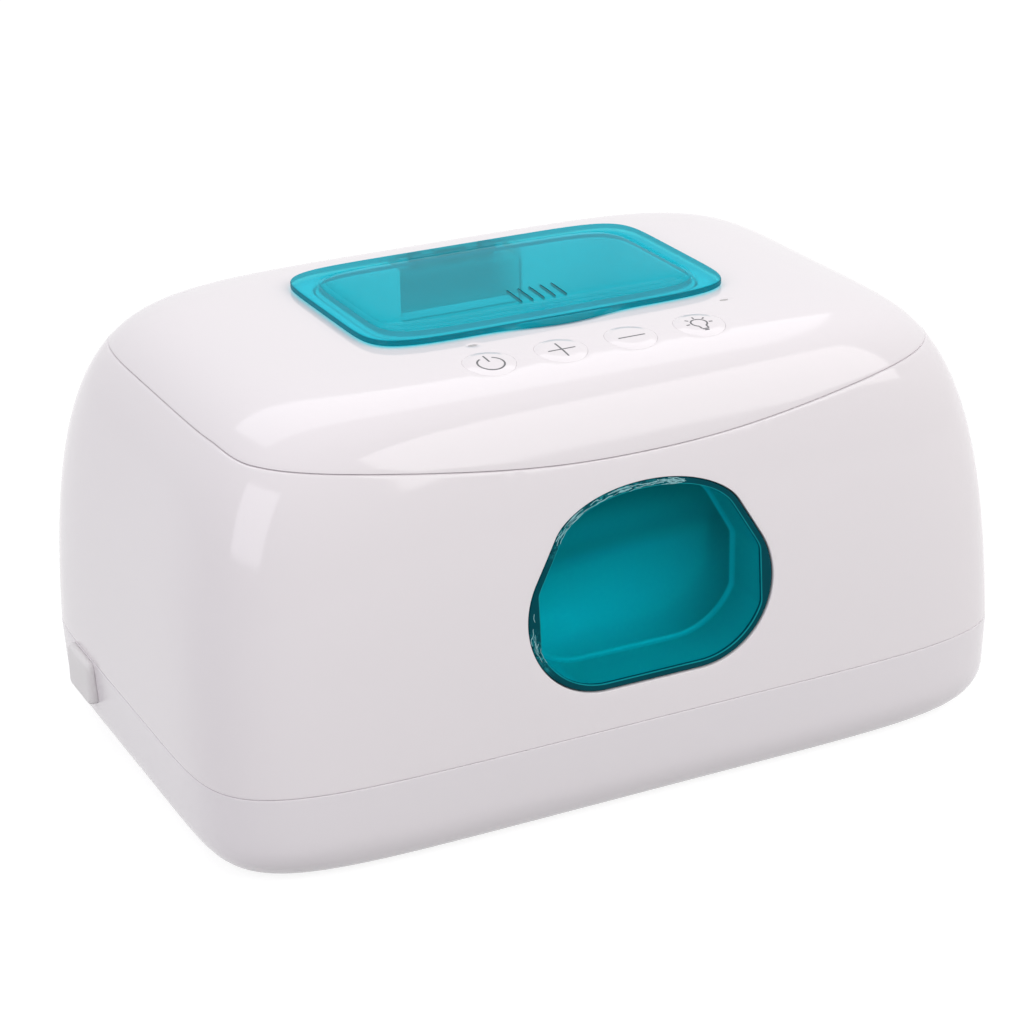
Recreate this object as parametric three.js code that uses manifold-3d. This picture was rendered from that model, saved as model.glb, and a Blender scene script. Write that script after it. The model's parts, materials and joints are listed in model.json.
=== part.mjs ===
// A baby wipe warmer: a heated tub in a two-part housing, under a hinged lid with a flip cover.
// Millimetres, +Z up, +X to the right of someone facing the window, -Y to the front.
// The origin is on the surface that the warmer stands on, under the middle of the housing.

import * as THREE from 'three';
import { mergeVertices } from 'three/addons/utils/BufferGeometryUtils.js';
import Module from 'manifold-3d';

const wasm = await Module();
wasm.setup();

// Driving dimensions of the housing
const length = 250;
const depth = 164;
const height = 126.5;
const standOff = 1.2;
const kneeHeight = 13.5;
const rearLean = 2.3;
const bottomRoundHeight = 12.5;
const bottomRoundInset = 10.5;
const bottomTaper = 1.6;
const baseSeamHeight = 27.6;
const lidDepth = 12.6;
const gap = 0.3;
const overrun = 5;
const mergeTolerance = 0.001;
const roundingError = 1e-9;

// Exponents of the housing's rounded-box formula, which have no unit
const planPowerX = 6.3;
const planPowerXDropShare = 1.4;
const planPowerY = 8.5;
const planPowerYDropShare = 3.2;
const shoulderPower = 8.8;
const riseQuotient = 2.8;

// Walls
const baseWall = 2.6;
const baseFloor = 3;
const shellWall = 2.6;
const lidWall = 2.4;

// The lid's parting line dips along the front
const seamDip = { drop: 10.6, halfWidth: 76, power: 2.3, fadeInset: 28, fadeLength: 18 };

// Facets, fine on the outside and coarser inside
const planSteps = 40;
const shoulderSteps = 9;
const innerPlanSteps = 32;
const innerShoulderSteps = 7;
const roundSteps = 3;
const outlineSteps = 28;
const cornerSteps = 4;
const seamSteps = { x: 24, y: 12 };
const holeSteps = 12;
const leadSteps = 12;

const halfLength = length / 2;
const halfDepth = depth / 2;
const lidSeamHeight = height - lidDepth;
const dippedSeamHeight = lidSeamHeight - seamDip.drop;
const baseFloorTop = standOff + baseFloor;

// Solids: a closed geometry becomes a manifold solid, and back
function solid(geometry) {
  const bare = geometry.clone();
  for (const name of Object.keys(bare.attributes)) {
    if (name !== 'position') bare.deleteAttribute(name);
  }
  const merged = mergeVertices(bare, mergeTolerance);
  return new wasm.Manifold(new wasm.Mesh({
    numProp: 3,
    vertProperties: Float32Array.from(merged.attributes.position.array),
    triVerts: Uint32Array.from(merged.index.array),
  }));
}

function geometryOf(manifold) {
  const mesh = manifold.getMesh();
  const geometry = new THREE.BufferGeometry();
  geometry.setAttribute('position', new THREE.BufferAttribute(mesh.vertProperties, 3));
  geometry.setIndex(new THREE.BufferAttribute(mesh.triVerts, 1));
  geometry.computeVertexNormals();
  return geometry;
}

const join = (first, ...rest) => rest.reduce((whole, piece) => whole.add(piece), first);
const cut = (first, ...rest) => rest.reduce((whole, piece) => whole.subtract(piece), first);
const meet = (first, second) => first.intersect(second);

// A box from its low and high corners
function box([x0, y0, z0], [x1, y1, z1]) {
  const geometry = new THREE.BoxGeometry(x1 - x0, y1 - y0, z1 - z0);
  geometry.translate((x0 + x1) / 2, (y0 + y1) / 2, (z0 + z1) / 2);
  return solid(geometry);
}

// A slab of the whole plan between two heights
function slab(z0, z1) {
  return box([-length, -depth, z0], [length, depth, z1]);
}

// A round bar along an axis, 'x', 'y' or 'z', from one end to the other, through a point
function rod(axis, radius, from, to, [u, v], steps = holeSteps) {
  const geometry = new THREE.CylinderGeometry(radius, radius, to - from, steps);
  const middle = (from + to) / 2;
  if (axis === 'x') {
    geometry.rotateZ(-Math.PI / 2);
    geometry.translate(middle, u, v);
  } else if (axis === 'y') {
    geometry.translate(u, middle, v);
  } else {
    geometry.rotateX(Math.PI / 2);
    geometry.translate(u, v, middle);
  }
  return solid(geometry);
}

// An upright prism of an outline in X and Y
function upright(points, z0, z1) {
  const shape = new THREE.Shape(points);
  const geometry = new THREE.ExtrudeGeometry(shape, { depth: z1 - z0, bevelEnabled: false });
  geometry.translate(0, 0, z0);
  return solid(geometry);
}

// A prism of an outline in X and Z, from the front y0 to the rear y1
function fromFront(points, y0, y1) {
  const shape = new THREE.Shape(points);
  const geometry = new THREE.ExtrudeGeometry(shape, { depth: y1 - y0, bevelEnabled: false });
  geometry.rotateX(Math.PI / 2);
  geometry.translate(0, y1, 0);
  return solid(geometry);
}

// A round lead along a smooth curve through points
function lead(radius, points, steps) {
  const sides = 8;
  const ring = Array.from({ length: sides }, (unused, i) => {
    const angle = (i / sides) * 2 * Math.PI;
    return new THREE.Vector2(radius * Math.cos(angle), radius * Math.sin(angle));
  });
  const path = new THREE.CatmullRomCurve3(points.map((point) => new THREE.Vector3(...point)));
  const options = { steps, extrudePath: path, bevelEnabled: false };
  return solid(new THREE.ExtrudeGeometry(new THREE.Shape(ring), options));
}

// Signed power, for rounded-box outlines
function bend(value, power) {
  const size = Math.abs(value);
  return size < roundingError ? 0 : Math.sign(value) * size ** power;
}

// Outline points of a rounded rectangle |x/a|^n + |y/b|^m = 1 about a centre
function roundedBox(a, b, n, m, [cx, cy], steps) {
  return Array.from({ length: steps }, (unused, i) => {
    const angle = (i / steps) * 2 * Math.PI;
    const x = cx + a * bend(Math.cos(angle), 2 / n);
    const y = cy + b * bend(Math.sin(angle), 2 / m);
    return new THREE.Vector2(x, y);
  });
}

// Outline points of a rectangle with round corners about a centre
function roundedRectangle(a, b, radius, [cx, cy]) {
  const quarters = [[1, 1], [-1, 1], [-1, -1], [1, -1]];
  return quarters.flatMap(([sx, sy], turn) => Array.from({ length: cornerSteps + 1 }, (unused, i) => {
    const angle = (turn + i / cornerSteps) * (Math.PI / 2);
    const x = cx + sx * (a - radius) + radius * Math.cos(angle);
    const y = cy + sy * (b - radius) + radius * Math.sin(angle);
    return new THREE.Vector2(x, y);
  }));
}

// How far up the shoulder a height is, from 0 at the knee to 1 at the top
function climb(z, inset) {
  const share = (z - kneeHeight) / (height - inset - kneeHeight);
  return Math.min(Math.max(share, 0), 1);
}

// The housing's half sizes, exponents and lean at a height, for a skin that lies inset from it
function plan(z, inset) {
  const up = climb(z, inset);
  const roof = (1 - up ** riseQuotient) ** (1 / shoulderPower);
  const low = Math.min(Math.max(1 - (z - inset) / bottomRoundHeight, 0), 1);
  const taper = bottomTaper * Math.max(1 - z / baseSeamHeight, 0);
  const tuck = bottomRoundInset * (1 - Math.sqrt(1 - low * low)) + taper;
  return {
    a: (halfLength - inset) * roof - tuck,
    b: (halfDepth - inset) * roof - tuck,
    n: planPowerX - planPowerXDropShare * (z / height),
    m: planPowerY - planPowerYDropShare * (z / height),
    lean: rearLean * up,
  };
}

// Height of the housing's top at a place along its middle line
function topAt(y) {
  const share = Math.abs(y - rearLean) / halfDepth;
  return kneeHeight + (height - kneeHeight) * (1 - share ** shoulderPower) ** (1 / riseQuotient);
}

// How far back the housing's rear wall is at a place across it
function rearAt(x, z) {
  const at = plan(z, 0);
  return at.b * (1 - (Math.abs(x) / at.a) ** at.n) ** (1 / at.m) + at.lean;
}

// The whole housing as one solid, lying inset inside the outer surface
function skin(inset, around = innerPlanSteps, along = innerShoulderSteps) {
  const profile = [new THREE.Vector2(0, inset)];
  for (let i = 0; i <= roundSteps; i += 1) {
    const angle = (i / roundSteps) * (Math.PI / 2);
    profile.push(new THREE.Vector2(1, inset + bottomRoundHeight * (1 - Math.cos(angle))));
  }
  const rise = height - inset - kneeHeight;
  for (let i = 0; i < along; i += 1) {
    const angle = (i / along) * (Math.PI / 2);
    const z = kneeHeight + rise * Math.sin(angle) ** (2 / riseQuotient);
    const last = profile[profile.length - 1];
    if (z > last.y) profile.push(new THREE.Vector2(1, z));
  }
  profile.push(new THREE.Vector2(0, height - inset));
  const geometry = new THREE.LatheGeometry(profile, around);
  geometry.rotateX(Math.PI / 2);
  const place = geometry.attributes.position;
  for (let i = 0; i < place.count; i += 1) {
    const angle = Math.atan2(place.getY(i), place.getX(i));
    const share = Math.min(Math.hypot(place.getX(i), place.getY(i)), 1);
    const z = place.getZ(i);
    const at = plan(z, inset);
    const x = share * at.a * bend(Math.cos(angle), 2 / at.n);
    const y = share * at.b * bend(Math.sin(angle), 2 / at.m) + at.lean;
    place.setXYZ(i, x, y, z);
  }
  return solid(geometry);
}

// Height of the lid's parting line at a place of the plan
function seamAt(x, y) {
  const front = -halfDepth + seamDip.fadeInset;
  const share = Math.min(Math.max((front + seamDip.fadeLength - y) / seamDip.fadeLength, 0), 1);
  const ease = share * share * (3 - 2 * share);
  const bell = Math.exp(-((Math.abs(x) / seamDip.halfWidth) ** seamDip.power));
  return lidSeamHeight - seamDip.drop * bell * ease;
}

// Everything above the parting line, lifted by a distance
function aboveSeam(lift) {
  const margin = overrun;
  const low = dippedSeamHeight;
  const high = height + 2 * overrun;
  const size = [length + 2 * margin, depth + 2 * margin];
  const geometry = new THREE.BoxGeometry(size[0], size[1], high - low, seamSteps.x, seamSteps.y, 1);
  geometry.translate(0, 0, (low + high) / 2);
  const place = geometry.attributes.position;
  for (let i = 0; i < place.count; i += 1) {
    if (place.getZ(i) < height) {
      place.setZ(i, seamAt(place.getX(i), place.getY(i)) + lift);
    }
  }
  return solid(geometry);
}

// Skins that several pieces share
const fineSkin = (inset) => skin(inset, planSteps, shoulderSteps);
const outside = fineSkin(0);
const shellInside = skin(shellWall);
const lidInside = skin(lidWall);

// Materials, one for each finish
const finish = (color, roughness, metalness = 0) =>
  new THREE.MeshStandardMaterial({ color, roughness, metalness });
const whiteGloss = finish(0xefeaee, 0.25);
const whiteSatin = finish(0xe9e6e8, 0.5);
const tealClear = finish(0x1ba7b5, 0.12);
const steel = finish(0xb9bcc0, 0.35, 1);
const aluminium = finish(0xc9ccd0, 0.45, 1);
const rubber = finish(0x8f9396, 0.85);
const silicone = finish(0xdfe3e1, 0.6);
const board = finish(0x1f6b45, 0.6);
const blackPlastic = finish(0x2a2c2f, 0.5);
const greyPlastic = finish(0x9a9fa3, 0.5);
const foam = finish(0xd8d3c4, 0.95);
const lamp = finish(0xf4f2dc, 0.3);
const leadSkin = finish(0x3a3d42, 0.6);

const warmer = new THREE.Group();
function piece(name, manifold, material) {
  const mesh = new THREE.Mesh(geometryOf(manifold), material);
  mesh.name = name;
  warmer.add(mesh);
}

// Repeated places, one at each corner of the plan
const corners = [
  ['front_left', -1, -1],
  ['front_right', 1, -1],
  ['rear_left', -1, 1],
  ['rear_right', 1, 1],
];

// The window in the front wall: a flat sill, wide round lower corners, straight sloping sides, a low arch.
// The sides of its inner opening are cut straight, so its rim is wider there.
const windowSize = {
  halfWidth: 37.9, sillHalf: 14.5, aboveSeam: 11.6, belowSeam: 7.3, rim: 2.3, sideRim: 3.9,
};
const windowTurn = Math.PI / 6;
const windowCornerShare = 0.412;
const windowShoulderShares = { x: 0.744, z: 0.815 };
const windowArchShares = { x: 0.422, shoulderX: 0.678, shoulderZ: 0.891 };
const windowSill = baseSeamHeight + windowSize.aboveSeam;
const windowTop = dippedSeamHeight - windowSize.belowSeam;
const windowHeight = windowTop - windowSill;
const windowMiddle = (windowSill + windowTop) / 2;
const windowSteps = { corner: 5, arch: 8 };

// Points of the window's right half, from the sill up to the arch, drawn in by a rim
function windowHalf(rim) {
  const across = windowSize.halfWidth - windowSize.sillHalf - rim;
  const rise = windowHeight * windowCornerShare - rim;
  const centreZ = windowSill + windowHeight * windowCornerShare;
  const corner = Array.from({ length: windowSteps.corner + 1 }, (unused, i) => {
    const angle = -Math.PI / 2 + (i / windowSteps.corner) * (Math.PI / 2 + windowTurn);
    return [windowSize.sillHalf + across * Math.cos(angle), centreZ + rise * Math.sin(angle)];
  });
  const inX = rim * Math.cos(windowTurn);
  const inZ = rim * Math.sin(windowTurn);
  const at = (shareX, shareZ, offX, offZ) => new THREE.Vector2(
    windowSize.halfWidth * shareX - offX, windowSill + windowHeight * shareZ - offZ);
  const arch = new THREE.CubicBezierCurve(
    at(windowShoulderShares.x, windowShoulderShares.z, inX, inZ),
    at(windowArchShares.shoulderX, windowArchShares.shoulderZ, inX, inZ),
    at(windowArchShares.x, 1, 0, rim),
    at(0, 1, 0, rim),
  );
  return [...corner, ...arch.getPoints(windowSteps.arch).map((point) => [point.x, point.y])];
}

function windowOutline(rim, sideLimit) {
  const half = windowHalf(rim).map(([x, z]) => [Math.min(x, sideLimit), z]);
  const mirrored = half.slice(0, -1).reverse().map(([x, z]) => [-x, z]);
  return [...half, ...mirrored].map(([x, z]) => new THREE.Vector2(x, z));
}

const windowPrism = (rim, rear) =>
  fromFront(windowOutline(rim, windowSize.halfWidth), -halfDepth - overrun, rear);
const windowBore = (rim, rear) =>
  fromFront(windowOutline(rim, windowSize.halfWidth - windowSize.sideRim), -halfDepth - overrun, rear);

// Heights that stack up from the base floor
const footSize = { radius: 6.7, recess: 1.5, insetX: 34, insetY: 30 };
const boardPost = { height: 3.5, radius: 2.5 };
const powerBoard = { length: 90, offset: -10, insetY: 14.6, thickness: 1.6, postInset: 5 };
const powerBoardBottom = baseFloorTop + boardPost.height + gap;
const powerBoardTop = powerBoardBottom + powerBoard.thickness;
const regulator = { length: 22, width: 15, height: 3.8 };
const pad = { thickness: 6, clearance: 4.4, over: 3, postRadius: 4, postInset: 6.5 };
const padBottom = powerBoardTop + pad.clearance;
const padTop = padBottom + pad.thickness;
const heater = { thickness: 1.6, insetX: 13, insetY: 13 };
const heaterBottom = padTop + gap;
const heaterTop = heaterBottom + heater.thickness;

// The light box behind the window, and its board
const lens = { recess: 0.4, plate: 2.2, skirtDepth: 5 };
const lightBox = { depth: 19, back: 2 };
const lightBoxBack = -halfDepth + lightBox.depth;
const led = { size: 5, thickness: 1.8, pitch: 18 };
const ledFront = lightBoxBack + gap;
const lightBoard = { halfWidth: 30, halfHeight: 14, thickness: 1.6 };
const lightBoardFront = ledFront + led.thickness + gap;
const lightBoardBack = lightBoardFront + lightBoard.thickness;

// The wipes tub, hung by its flange on a ledge of the shell
const tub = {
  wall: 1.8, floor: 2, flange: 2, endInset: 27, rearInset: 22, frontClearance: 0.7, corner: 22,
};
const tubFront = lightBoardBack + tub.frontClearance;
const tubRear = halfDepth - tub.rearInset;
const tubHalfLength = halfLength - tub.endInset;
const tubCentre = [0, (tubFront + tubRear) / 2];
const tubHalfDepth = (tubRear - tubFront) / 2;
const tubBottom = heaterTop + gap;
const flangeDrop = 1.8;
const flangeTop = dippedSeamHeight - flangeDrop;
const flangeBottom = flangeTop - tub.flange;
const ledge = { reach: 3, thickness: 2 };

function tubOutline(grow) {
  return roundedRectangle(tubHalfLength + grow, tubHalfDepth + grow, tub.corner + grow, tubCentre);
}

// Half sizes of the heater, the pad round it and the board below, all centred under the tub
const heaterX = tubHalfLength - heater.insetX;
const heaterY = tubHalfDepth - heater.insetY;
const padX = heaterX + pad.over;
const padY = heaterY + pad.over;
const boardX = powerBoard.length / 2;
const boardY = padY - powerBoard.insetY;
const boardLow = [powerBoard.offset - boardX, tubCentre[1] - boardY];
const boardHigh = [powerBoard.offset + boardX, tubCentre[1] + boardY];

// Base screws, through bosses of the base into posts of the shell
const screw = { radius: 1.5, headRadius: 3, headHeight: 2, reach: 10 };
const boss = { radius: 4.6, insetX: 14, insetY: 28, headSeat: 9, postHeight: 34, ribHalf: 1 };
const shellPostTop = baseSeamHeight + boss.postHeight;
const bossPlace = (sx, sy) => [sx * (halfLength - boss.insetX), sy * (halfDepth - boss.insetY)];

// The power inlet in the left wall, and the plug that covers it
const inlet = { insetRear: 47, bore: 4.5, jackLength: 13.8, jackWidth: 11, jackHeight: 9 };
const jack = { socket: 3, pin: 1, wallClearance: 1.8, cradleHalf: 4 };
const inletY = halfDepth - inlet.insetRear;
const inletCover = { halfLength: 9.3, below: 6.9, above: 6.8, proud: 2.1, corner: 2.2, plug: 1.6 };
const inletHeight = (bottomRoundHeight + baseSeamHeight) / 2 + gap;
const inletWall = plan(inletHeight, baseWall).a;
const jackMouth = -inletWall + jack.wallClearance;
const jackRear = jackMouth + inlet.jackLength;

// The lid's heights, from its top down
const cover = {
  halfX: 56.5, frontInset: 53.1, rearInset: 38.9, power: 6.9, rim: 1.9, lift: 0.3, crown: 1.9,
};
const coverHalfY = (depth - cover.frontInset - cover.rearInset) / 2;
const coverY = (cover.frontInset - cover.rearInset) / 2;
const well = { depth: 17, floor: 2, wall: 1.8, margin: 7.3, power: 6.5, sink: 0.2 };
const wellHalfX = cover.halfX - well.margin;
const wellHalfY = coverHalfY - well.margin;
const wellFloorTop = height - well.depth;
const wellBottom = wellFloorTop - well.floor;
const panel = { thickness: 2.2, wall: 2, clearance: 4.6, skirt: 5 };
const panelTop = wellBottom - gap;
const panelBottom = panelTop - panel.thickness;
const gasket = { overTub: 3.6, width: 4.2 };
const lidScrew = {
  radius: 1.4, headRadius: 2.8, headHeight: 1.8, reach: 11, insetX: 43, insetFront: 41, insetRear: 35,
};
const lidBossRadius = 4;
const lidBossPlace = (sx, sy) => [
  sx * (halfLength - lidScrew.insetX),
  sy * (halfDepth - (sy < 0 ? lidScrew.insetFront : lidScrew.insetRear)),
];
const slot = {
  margin: 13.2, halfY: 10, fromFront: 17.6, lipHalfX: 30, lipHalfY: 4, lipThickness: 1.4, power: 3,
};
const slotHalfX = wellHalfX - slot.margin;
const slotY = coverY - wellHalfY + slot.fromFront;

// Buttons, their switches and the indicator lights
const button = { radius: 7.3, insetFront: 34.4, pitch: 21.45, proud: 0.35, travel: 0.6 };
const buttonY = -halfDepth + button.insetFront;
const buttonFlange = { over: 1.5, thickness: 1.2, clearance: 2, stemRadius: 2.5, stem: 0.7 };
const buttonNames = ['power', 'plus', 'minus', 'light'];
const flangeEdge = buttonY - button.radius - buttonFlange.over;
const flangeHeight = topAt(flangeEdge) - lidWall - buttonFlange.clearance;
const stemBottom = flangeHeight - buttonFlange.thickness - buttonFlange.stem;
const switchSize = { half: 3, height: 4.3 };
const switchTop = stemBottom - button.travel - gap;
const controlBoardTop = switchTop - switchSize.height - gap;
const controlBoard = { halfX: 56, ahead: 9, width: 26, thickness: 1.6, postRadius: 2.5, postInset: 4 };
const controlBoardFront = buttonY - controlBoard.ahead;
const controlBoardRear = controlBoardFront + controlBoard.width;
const controlBoardBottom = controlBoardTop - controlBoard.thickness;
const indicator = { halfX: 1.25, halfY: 0.7, proud: 0.05, leftX: -30.6, rightX: 48, insetFront: 47.7 };
const indicatorY = -halfDepth + indicator.insetFront;
const indicators = { left: [indicator.leftX, indicatorY], right: [indicator.rightX, indicatorY] };

// The flip cover and its hinge
const coverCrown = { insetX: 7.5, insetY: 7, slope: 1.6, power: 6 };
const coverTab = { halfWidth: 17, reach: 2.6 };
const coverSlit = { count: 5, pitch: 3.5, length: 10.2, width: 0.7, fromFront: 16.4 };
const coverBottom = height + cover.lift;
const coverRimTop = coverBottom + cover.rim;
const coverTop = coverRimTop + cover.crown;
const coverRear = coverY + coverHalfY;
const coverFront = coverY - coverHalfY;
const coverHinge = {
  behind: 1.3, below: 0.1, knuckle: 2.1, pin: 0.8, armAt: 11.5, armHalf: 2, earHalf: 1.8,
};
const coverHingeY = coverRear + coverHinge.behind;
const coverHingeZ = height - coverHinge.below;
const earAt = coverHinge.armAt + coverHinge.armHalf + gap + coverHinge.earHalf;
const springSize = { outer: 1.9, inner: 1.2, half: 5.5 };
const pocket = { halfWidth: 20, wall: 1.8, behind: 2.5, rise: 2.5 };
const pocketRear = coverHingeY + pocket.behind;
const housing = { front: 0.6, groove: 2.6 };
const latch = {
  hookHalf: 6, hookThickness: 1.6, hookDepth: 5, catchHalf: 8, catchThickness: 1.8, play: 0.9,
};

// The lid's hinges on the rear wall
const lidHinge = {
  behind: 3.4, knuckle: 3.6, web: 4, pin: 1.5, insetEnd: 70, lidHalf: 6.7, bodyLength: 7.7,
};
const lidHingeX = halfLength - lidHinge.insetEnd;
const lidHingeEnd = lidHingeX + lidHinge.lidHalf + gap + lidHinge.bodyLength;
const lidHingeY = rearAt(lidHingeEnd, lidSeamHeight) + lidHinge.behind;
const lidHingeZ = lidSeamHeight;

// A bar along X of a lid hinge, between two distances from the middle of that hinge
function lidHingeBar(side, radius, from, to) {
  const middle = side * lidHingeX;
  return rod('x', radius, middle + from, middle + to, [lidHingeY, lidHingeZ]);
}

// The web that carries a knuckle, between two heights
function lidHingeWeb(side, from, to, z0, z1) {
  const middle = side * lidHingeX;
  const front = lidHingeY - lidHinge.knuckle - lidHinge.web;
  return box([middle + from, front, z0], [middle + to, lidHingeY, z1]);
}

const bodyKnuckleSpans = [
  [-lidHinge.lidHalf - gap - lidHinge.bodyLength, -lidHinge.lidHalf - gap],
  [lidHinge.lidHalf + gap, lidHinge.lidHalf + gap + lidHinge.bodyLength],
];

// The base: a shallow tray with screw bosses, posts, vents and the inlet's hole
function baseTray() {
  const walls = cut(meet(outside, slab(standOff, baseSeamHeight - gap / 2)),
    meet(skin(baseWall), slab(baseFloorTop, height)));
  const added = [];
  const removed = [];
  for (const [, sx, sy] of corners) {
    const [x, y] = bossPlace(sx, sy);
    added.push(rod('z', boss.radius, standOff + gap, baseSeamHeight - gap / 2, [x, y]));
    removed.push(rod('z', screw.radius + gap, 0, baseSeamHeight + overrun, [x, y]));
    removed.push(rod('z', screw.headRadius + gap, 0, boss.headSeat, [x, y]));
    const footX = sx * (halfLength - footSize.insetX);
    const footY = sy * (halfDepth - footSize.insetY);
    removed.push(rod('z', footSize.radius + gap, 0, standOff + footSize.recess, [footX, footY]));
    const padPlace = [sx * (padX - pad.postInset), tubCentre[1] + sy * (padY - pad.postInset)];
    added.push(rod('z', pad.postRadius, standOff + gap, padBottom - gap, padPlace));
    const postX = powerBoard.offset + sx * (boardX - powerBoard.postInset);
    const postY = tubCentre[1] + sy * (boardY - powerBoard.postInset);
    added.push(rod('z', boardPost.radius, standOff + gap, powerBoardBottom - gap, [postX, postY]));
  }
  const cradleTop = inletHeight - inlet.jackHeight / 2 - gap;
  added.push(box([jackMouth, inletY - jack.cradleHalf, standOff + gap],
    [jackRear, inletY + jack.cradleHalf, cradleTop]));
  removed.push(rod('x', inlet.bore, -halfLength, jackMouth, [inletY, inletHeight]));
  const vent = { count: 5, pitch: 7, halfLength: 9, halfWidth: 1.2, insetEnd: 23 };
  for (const side of [-1, 1]) {
    for (let i = 0; i < vent.count; i += 1) {
      const y = (i - (vent.count - 1) / 2) * vent.pitch;
      const x = side * (halfLength - vent.insetEnd);
      removed.push(box([x - vent.halfLength, y - vent.halfWidth, 0],
        [x + vent.halfLength, y + vent.halfWidth, baseFloorTop + gap]));
    }
  }
  return cut(join(walls, ...added), ...removed);
}

// The main shell: the tall wall with the window, ledge, screw posts and hinge knuckles
function outerShell() {
  const band = cut(slab(baseSeamHeight + gap / 2, height), aboveSeam(-gap / 2));
  let shell = cut(meet(outside, band), shellInside);
  const shelf = meet(cut(skin(shellWall / 2), skin(shellWall + ledge.reach)),
    slab(flangeBottom - gap - ledge.thickness, flangeBottom - gap));
  shell = join(shell, shelf);
  shell = cut(shell, windowPrism(0, -halfDepth / 2));
  const postBottom = baseSeamHeight + gap / 2;
  const inWall = skin(shellWall / 2);
  for (const [, sx, sy] of corners) {
    const [x, y] = bossPlace(sx, sy);
    const rib = sx * (halfLength + overrun);
    const low = [Math.min(x, rib), y - boss.ribHalf, postBottom];
    const high = [Math.max(x, rib), y + boss.ribHalf, shellPostTop];
    const post = rod('z', boss.radius, postBottom, shellPostTop, [x, y]);
    shell = join(shell, post, meet(box(low, high), inWall));
    shell = cut(shell, rod('z', screw.radius + gap, 0, postBottom + screw.reach + 2 * gap, [x, y]));
  }
  for (const side of [-1, 1]) {
    for (const [from, to] of bodyKnuckleSpans) {
      const web = lidHingeWeb(side, from, to, lidHingeZ - lidHinge.knuckle, lidHingeZ - gap / 2);
      shell = join(shell, lidHingeBar(side, lidHinge.knuckle, from, to), web);
    }
    const lidSpan = lidHinge.lidHalf + gap;
    shell = cut(shell, lidHingeBar(side, lidHinge.knuckle + gap, -lidSpan, lidSpan));
    const all = lidHinge.lidHalf + gap + lidHinge.bodyLength + overrun;
    shell = cut(shell, lidHingeBar(side, lidHinge.pin + gap, -all, all));
  }
  return shell;
}

function windowLens() {
  const front = fineSkin(lens.recess);
  const plate = cut(meet(windowPrism(gap, -halfDepth / 2), front), skin(lens.recess + lens.plate));
  const ring = cut(windowPrism(gap, -halfDepth / 2), windowBore(windowSize.rim, 0));
  const skirt = cut(meet(ring, front), skin(lens.recess + lens.skirtDepth));
  return join(plate, skirt);
}

function lightBoxCup() {
  const inside = skin(lens.recess + lens.skirtDepth + gap);
  const body = meet(windowPrism(gap, lightBoxBack), inside);
  return cut(body, windowBore(windowSize.rim, lightBoxBack - lightBox.back));
}

function innerTub() {
  const cup = upright(tubOutline(0), tubBottom, flangeTop);
  const rim = meet(skin(shellWall + gap), slab(flangeBottom, flangeTop));
  const hollow = upright(tubOutline(-tub.wall), tubBottom + tub.floor, flangeTop + overrun);
  return cut(join(cup, rim), hollow);
}

// The plug over the inlet: a rounded block outside the wall, with a spigot in the hole
function inletPlug() {
  const low = inletHeight - inletCover.below;
  const high = inletHeight + inletCover.above;
  const y0 = inletY - inletCover.halfLength;
  const y1 = inletY + inletCover.halfLength;
  const r = inletCover.corner;
  const face = new THREE.Shape();
  face.moveTo(y0 + r, low);
  face.lineTo(y1 - r, low);
  face.absarc(y1 - r, low + r, r, -Math.PI / 2, 0);
  face.absarc(y1 - r, high - r, r, 0, Math.PI / 2);
  face.absarc(y0 + r, high - r, r, Math.PI / 2, Math.PI);
  face.absarc(y0 + r, low + r, r, Math.PI, 1.5 * Math.PI);
  const outer = -halfLength - inletCover.proud;
  const bevel = 0.6;
  const options = { depth: halfLength + outer + 2 * overrun, curveSegments: 4, bevelSegments: 2 };
  const block = new THREE.ExtrudeGeometry(face, {
    ...options, bevelEnabled: true, bevelSize: bevel, bevelOffset: -bevel, bevelThickness: bevel,
  });
  block.rotateZ(Math.PI / 2);
  block.rotateY(Math.PI / 2);
  block.translate(outer + bevel, 0, 0);
  const lugEnd = -inletWall - baseWall + inletCover.plug;
  const lug = rod('x', inlet.bore - gap, outer + bevel, lugEnd, [inletY, inletHeight]);
  return join(cut(solid(block), fineSkin(-gap)), lug);
}

function inletJack() {
  const halfWidth = inlet.jackWidth / 2;
  const halfHeight = inlet.jackHeight / 2;
  const body = box([jackMouth, inletY - halfWidth, inletHeight - halfHeight],
    [jackRear, inletY + halfWidth, inletHeight + halfHeight]);
  const back = jackRear - jack.socket;
  const bore = rod('x', jack.socket, jackMouth - overrun, back, [inletY, inletHeight]);
  const pin = rod('x', jack.pin, jackMouth + jack.pin, back + gap, [inletY, inletHeight]);
  return join(cut(body, bore), pin);
}

// The lid's outer shell, with the holes for the well, the buttons and the indicator lights
function buttonPlace(index) {
  return [(index - (buttonNames.length - 1) / 2) * button.pitch, buttonY];
}

function wellOutline(grow) {
  return roundedBox(wellHalfX + grow, wellHalfY + grow, well.power, well.power, [0, coverY], outlineSteps);
}

function pocketBox(grow, z0) {
  const x = pocket.halfWidth + grow;
  return box([-x, coverY, z0], [x, pocketRear + grow, height + overrun]);
}

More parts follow.
